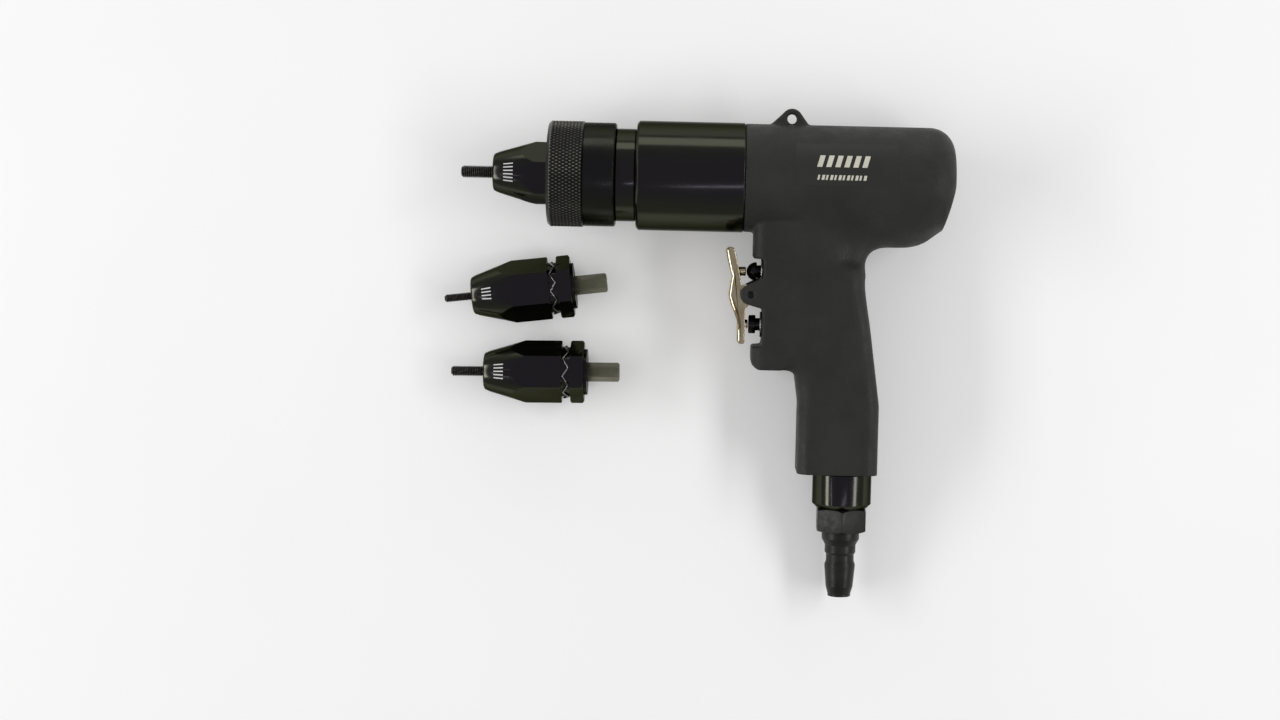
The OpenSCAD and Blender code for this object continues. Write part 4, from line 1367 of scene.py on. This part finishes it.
@dataclass
class AirInlet:
    """Exhaust sleeve at the grip's foot, hex adapter and air plug.

    Attributes:
        foot: Start of the sleeve below the barrel's axis.
        sleeve_radius: Radius of the sleeve.
        sleeve_end: End of the sleeve.
        adapter_flats: Width across the adapter's flats.
        adapter_end: End of the adapter.
        plug_radius: Radius of the plug's sealing barrel.
        plug_end: End of the plug.
        bore: Radius of the air passage.
    """

    foot: float = 140.0
    sleeve_radius: float = 14.15
    sleeve_end: float = 157.0
    adapter_flats: float = 23.0
    adapter_end: float = 168.0
    plug_radius: float = 7.4
    plug_end: float = 199.5
    bore: float = 3.0

    def build(self, bench: Bench) -> None:
        """Build the sleeve, the adapter and the plug.

        Args:
            bench: Frames of the sub-assemblies.
        """
        at = bench.inlet()
        r, end = self.sleeve_radius, self.sleeve_end
        outline = [
            (self.foot - 17.7, 7.1), (self.foot - 17.7, 9.0), (self.foot, 9.0),
            (self.foot, r), (end - 2.5, r), (end, r - 2.5), (end, 7.1)]
        place(Shape.turned(softened(outline, 0.4), 144), "exhaust_sleeve_shell", at, GLOSS_OXIDE,
              "gun", ["exhaust_sleeve"])
        corner = self.adapter_flats / 2.0 / math.cos(math.radians(30.0))
        outline = [
            (end - 12.0, 0.0), (end - 12.0, 7.0), (end, 7.0), (end, corner - 1.6),
            (end + 0.9, corner), (self.adapter_end - 0.9, corner),
            (self.adapter_end, corner - 1.6), (self.adapter_end, 0.0)]
        hexagon = Shape.turned(outline, 144)
        hexagon.with_tool(
            Shape.hex_bar(self.adapter_flats, end - 13.0, self.adapter_end + 1.0, 90.0),
            "INTERSECT")
        place(hexagon.edged(0.3, 2, 12.0), "adapter_hexagon", at, PHOSPHATE, "gun",
              ["hex_adapter"])
        start, p, tip = self.adapter_end, self.plug_radius, self.plug_end
        outline = [
            (start - 8.0, self.bore), (start - 8.0, 5.4), (start, 5.4),
            (start, p + 1.6), (start + 3.6, p + 1.6), (start + 6.6, p), (start + 10.1, p),
            (start + 11.2, p - 0.7), (start + 14.2, p - 0.7), (start + 16.2, p),
            (tip - 4.9, p - 0.9), (tip - 1.2, p - 1.9), (tip, p - 1.9), (tip, self.bore)]
        place(Shape.turned(softened(outline, 0.5), 112), "air_plug_body", at, PHOSPHATE, "gun",
              ["air_plug"])


# ---------- Noses ----------


@dataclass
class Nose:
    """One threaded nose: hexagonal body, snap clip, threaded mandrel and drive hexagon.

    Attributes:
        size: Thread size in millimetres, which is also the number of its marks.
        pitch: Thread pitch.
        out: Length of thread that stands out.
        body: CAD body of the nose.
        mandrel_body: CAD body of the mandrel.
        facing: Angle of the marks from Z, in degrees.
        flats: Width across the body's flats.
        face: Radius of the front face.
        cone: Half angle of the cone, in degrees.
        groove: First and last X of the clip groove.
        groove_floor: Radius of the groove's floor.
        clip_radius: Radius of the clip's middle.
        clip_waves: Waves around the clip.
        clip_swing: Swing of the waves to each side.
        rear: Rear face of the hexagonal flange.
        flange: First and last X of the mandrel's flange, which bears on the thrust bearing.
        flange_radius: Radius of that flange.
        shank: Radius of the mandrel behind its flange.
        drive: First and last X of the drive hexagon.
        drive_flats: Width across the drive hexagon's flats.
    """

    size: int
    pitch: float
    out: float
    body: str
    mandrel_body: str
    facing: float = 0.0
    flats: float = 26.0
    face: float = 9.0
    cone: float = 16.6
    groove: Pair = (37.6, 41.75)
    groove_floor: float = 12.0
    clip_radius: float = 12.5
    clip_waves: int = 9
    clip_swing: float = 1.35
    rear: float = 48.35
    flange: Pair = (24.03, 28.0)
    flange_radius: float = 7.3
    shank: float = 5.1
    drive: Pair = (49.0, 65.15)
    drive_flats: float = 8.0

    @property
    def tag(self) -> str:
        """Ending of the CAD nodes of this nose."""
        return f"m{self.size}"

    def _cone_radius(self, x: float) -> float:
        """Radius of the cone at a distance from the front face."""
        return self.face + x * math.tan(math.radians(self.cone))

    def _body(self, at: Matrix) -> None:
        """Build the hexagonal body with its cone and groove.

        Args:
            at: Frame of the nose.
        """
        corner = self.flats / 2.0 / math.cos(math.radians(30.0)) + 0.05
        bore = self.size / 2.0 + 0.25
        full = (corner - self.face) / math.tan(math.radians(self.cone))
        edge = [(0.0, self.face - 1.5)]
        for step in range(1, 7):
            turn = math.radians((90.0 - self.cone) * step / 6.0)
            edge.append((1.35 * (1.0 - math.cos(turn)), self.face - 1.5 + 1.6 * math.sin(turn)))
        low, high = self.groove
        outline = [
            (0.0, bore + 0.3), *edge, (3.0, self._cone_radius(3.0)), (full, corner),
            (low - 0.4, corner), (low, corner - 0.5), (low, self.groove_floor),
            (high, self.groove_floor), (high, corner - 0.7), (high + 0.6, corner),
            (self.rear - 0.8, corner), (self.rear, corner - 1.1), (self.rear, 11.2), (self.rear - 4.0, 11.2),
            (self.rear - 4.0, 8.2), (20.0, 8.2), (20.0, bore), (0.3, bore)]
        shape = Shape.turned(outline, 192)
        shape.with_tool(Shape.hex_bar(self.flats, -1.0, self.rear + 1.0), "INTERSECT")
        place(shape.edged(0.32, 3, 10.0), f"nose_body_{self.tag}", at, GLOSS_OXIDE, self.body,
              [f"nose_{self.tag}"])

    def _clip(self, at: Matrix) -> None:
        """Build the wavy clip in the groove.

        Args:
            at: Frame of the nose.
        """
        middle = sum(self.groove) / 2.0
        count, r = 220, self.clip_radius
        path = []
        for n in range(count):
            angle = math.radians(20.0) + (2.0 * math.pi - math.radians(30.0)) * n / (count - 1)
            phase = (angle * self.clip_waves / (2.0 * math.pi)) % 1.0
            swing = (abs(phase * 2.0 - 1.0) * 2.0 - 1.0) * self.clip_swing
            path.append(Vector((middle + swing, r * math.cos(angle), r * math.sin(angle))))
        smooth = [(path[max(n - 1, 0)] + path[n] * 2 + path[min(n + 1, count - 1)]) / 4
                  for n in range(count)]
        place(Shape.wire(smooth, 0.42), f"wavy_clip_{self.tag}", at, SPRING_WIRE,
              self.body, [f"nose_clip_{self.tag}"], 60.0)

    def _thread(self, x: float, angle: float, radius: float) -> float:
        """Depth of the thread at a point.

        Args:
            x: Place along the mandrel.
            angle: Angle about the mandrel.
            radius: Radius of the row, which leaves the tip's chamfer plain.

        Returns:
            Depth below the thread's crests.
        """
        depth = 0.61 * self.pitch
        full = self.size / 2.0
        if x > 0.2 or radius < full - 0.45:
            return 0.0
        phase = (x / self.pitch - angle / (2.0 * math.pi)) % 1.0
        return depth * max(0.0, 1.0 - abs(phase * 2.0 - 1.0) * 1.2)

    def _mandrel(self, at: Matrix) -> None:
        """Build the thread in front and the drive hexagon behind.

        Args:
            at: Frame of the nose.
        """
        r = self.size / 2.0
        count = round(self.out / self.pitch * 8)
        first = -self.out + 0.9
        rows = [(first + (0.6 - first) * n / count, r) for n in range(count + 1)]
        outline = [(-self.out, 0.0), (-self.out, r - 1.0), (-self.out + 0.12, r - 0.78),
                   (-self.out + 0.5, r - 0.4), *rows, (self.flange[0], r),
                   (self.flange[0], self.flange_radius), (self.flange[1], self.flange_radius),
                   (self.flange[1], self.shank), (self.drive[0], self.shank),
                   (self.drive[0], 0.0)]
        thread = Shape.turned(outline, 48, self._thread)
        thread.worn(-self.out, 0.0, r, 0.3 * self.pitch)
        place(thread, f"mandrel_thread_{self.tag}", at, THREAD_OXIDE, self.mandrel_body,
              [f"mandrel_{self.tag}"], 40.0)
        start, end = self.drive
        outline = [(start, 0.0), (start, 4.7), (end - 0.8, 4.7), (end, 3.9), (end, 0.0)]
        drive = Shape.turned(outline, 72)
        drive.with_tool(Shape.hex_bar(self.drive_flats, start - 1.0, end + 1.0), "INTERSECT")
        place(drive.edged(0.18, 2, 12.0), f"drive_hexagon_{self.tag}", at, OLIVE_STEEL,
              self.mandrel_body, [f"mandrel_{self.tag}"])

    def _marks(self, at: Matrix) -> None:
        """Ink one bar on the cone for each millimetre of thread size.

        Args:
            at: Frame of the nose.
        """
        for mark in range(self.size):
            lean = math.radians(self.facing) + (mark - (self.size - 1) / 2.0) * 0.145
            points = []
            for x in (5.4, 7.0, 8.6, 10.0):
                for lift, side in ((0.02, -0.024), (0.02, 0.024), (0.08, 0.024), (0.08, -0.024)):
                    r = self._cone_radius(x) + lift
                    points.append((x, r * math.sin(lean + side), r * math.cos(lean + side)))
            place(Shape.lofted(points, 4), f"size_bar_{self.tag}_{mark}", at, WHITE_INK,
                  self.body)

    def build(self, at: Matrix) -> None:
        """Build the whole nose.

        Args:
            at: Frame of the nose.
        """
        self._body(at)
        self._clip(at)
        self._mandrel(at)
        self._marks(at)


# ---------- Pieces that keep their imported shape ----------


class InnerPieces:
    """Sealed pieces inside the gun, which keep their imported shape, and its springs."""

    def dress(self) -> None:
        """Give every material slot of every CAD node its finish."""
        slots = {
            node: Slot(entry["slot"])
            for entry in frame["record"]["materials"] for node in entry.get("nodes", [])
        }
        for name, node in frame["nodes"].items():
            slot = slots.get(name)
            if slot is None:
                names = [m.name.split(".")[0] for m in node.data.materials if m]
                slot = next((s for s in Slot if s.value in names), Slot.OXIDE)
            finish = DRESSING[slot].material()
            if not node.material_slots:
                node.data.materials.append(finish)
            for material_slot in node.material_slots:
                material_slot.material = finish
            LOG.info("%s wears %s", name, finish.name)

    def build_springs(self) -> None:
        """Build each spring from its imported coil, in spring wire, as a piece that rides on the gun.
        """
        for node, slide in (("collar_spring", "collar_slide"),
                            ("forward_spring", "forward_valve_slide"),
                            ("reverse_spring", "reverse_valve_slide")):
            coil = Shape([], [])
            coil.mesh = frame["nodes"][node].data.copy()
            piece = place(coil, f"{node}_wire", Matrix.Identity(4), SPRING_WIRE, "gun",
                          [node], 60.0)
            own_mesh(piece)


# ---------- Stage ----------


@dataclass(frozen=True)
class SoftLight:
    """Soft light that looks at the gun.

    Attributes:
        name: Name of the light.
        at: Its place, in metres.
        size: Its length and width, in metres.
        watts: Its power.
    """

    name: str
    at: tuple[float, float, float]
    size: Pair
    watts: float

    def hang(self) -> None:
        """Hang the light."""
        lamp = bpy.data.lights.new(self.name, "AREA")
        lamp.shape = "RECTANGLE"
        lamp.size, lamp.size_y = self.size
        lamp.energy = self.watts
        holder = bpy.data.objects.new(self.name, lamp)
        bpy.context.scene.collection.objects.link(holder)
        holder.location = self.at
        aim = Vector((0.0, 0.0, 0.02)) - Vector(self.at)
        holder.rotation_euler = aim.to_track_quat("-Z", "Y").to_euler()


@dataclass
class Stage:
    """Pale floor, soft lights and the camera straight above.

    Attributes:
        floor_tones: Darkest and lightest grey of the floor.
        floor_glow: Light that the floor gives off by itself.
        air_glow: Strength of the light from all around.
        lights: The soft lights.
        height: Camera height above the floor, in metres.
        centre: Point that the camera's axis meets, in metres.
        roll: Turn of the camera about its axis, in degrees.
        lens: Focal length in millimetres on a sensor 36 mm wide.
        shift: Shift of the view, in widths of the image.
    """

    floor_tones: Pair = (0.86, 0.88)
    floor_glow: float = 0.16
    air_glow: float = 0.32
    lights: tuple[SoftLight, ...] = (
        SoftLight("left_softbox", (-1.35, -0.05, 0.78), (1.6, 0.32), 12.0),
        SoftLight("right_softbox", (1.2, 0.0, 0.95), (1.6, 0.26), 10.5),
        SoftLight("far_softbox", (0.0, 1.35, 0.42), (1.9, 0.45), 4.5),
        SoftLight("overhead_strip", (0.18, -0.42, 1.25), (0.5, 0.035), 0.35),
        SoftLight("front_strip", (-0.95, -0.36, 1.1), (0.45, 0.03), 0.3))
    height: float = 1.104
    centre: Pair = (0.0058, -0.0017)
    roll: float = 1.33
    lens: float = 63.7
    shift: Pair = (-0.0523, -0.0039)

    def _floor(self) -> None:
        """Build the floor, with a gentle rise far behind."""
        count, size = 24, 3.0
        points = []
        for a in range(count + 1):
            for b in range(count + 1):
                x, y = (b / count - 0.5) * 2 * size, (a / count - 0.5) * 2 * size
                points.append((x, y, 0.12 * max(0.0, math.hypot(x, y) - 2.0) ** 2))
        row = count + 1
        faces = [(a * row + b, a * row + b + 1, (a + 1) * row + b + 1, (a + 1) * row + b)
                 for a in range(count) for b in range(count)]
        shape = Shape(points, faces)
        shape.mesh.shade_smooth()
        sheet = NodeSheet("pale_floor")
        tone = sheet.noise(sheet.coords, 6.0)
        dark, light = ((grey, grey, grey) for grey in self.floor_tones)
        shader = sheet.shader.inputs
        sheet.join(sheet.blended(sheet.spread(tone, 0.0, 1.0), dark, light), shader["Base Color"])
        shader["Roughness"].default_value = 0.9
        shader["Specular IOR Level"].default_value = 0.1
        shader["Emission Color"].default_value = (1.0, 1.0, 1.0, 1.0)
        shader["Emission Strength"].default_value = self.floor_glow
        shape.mesh.materials.append(sheet.material)
        floor = bpy.data.objects.new("floor", shape.mesh)
        bpy.context.scene.collection.objects.link(floor)

    def build(self) -> None:
        """Build the floor, the lights, the backdrop's light and the camera."""
        self._floor()
        for light in self.lights:
            light.hang()
        world = bpy.data.worlds.new("studio")
        world.use_nodes = True
        glow = world.node_tree.nodes["Background"]
        glow.inputs["Color"].default_value = (1.0, 1.0, 1.0, 1.0)
        glow.inputs["Strength"].default_value = self.air_glow
        scene = bpy.context.scene
        scene.world = world
        scene.view_settings.view_transform = "Standard"
        lens = bpy.data.cameras.new("camera")
        lens.lens = self.lens
        lens.sensor_width = 36.0
        lens.shift_x, lens.shift_y = self.shift
        lens.clip_start = 0.01
        camera = bpy.data.objects.new("camera", lens)
        scene.collection.objects.link(camera)
        camera.location = (*self.centre, self.height)
        camera.rotation_euler = (0.0, 0.0, math.radians(self.roll))
        scene.camera = camera


def main() -> None:
    """Build the stage, the gun and the spare noses in order."""
    logging.basicConfig(level=logging.INFO, format="%(message)s")
    Stage().build()
    bench = Bench()
    inside = InnerPieces()
    inside.dress()
    inside.build_springs()
    Housing().build(bench)
    GearCase().build(bench)
    nose_front, nose_turn = -119.6, 10.5
    FrontBarrel().build(bench, nose_turn)
    Collar().build(bench)
    TriggerGroup().build(bench)
    AirInlet().build(bench)
    mounted = Nose(6, 1.0, 15.3, "gun", "output", nose_turn)
    mounted.build(bench.mounted_nose(nose_front, nose_turn))
    second = Nose(5, 0.8, 15.8, "second_nose", "second_mandrel")
    second.build(bench.bench_nose("nose_m5", "second_mandrel_spin"))
    third = Nose(4, 0.7, 13.4, "third_nose", "third_mandrel")
    third.build(bench.bench_nose("nose_m4", "third_mandrel_spin"))


if __name__ == "__main__":
    main()
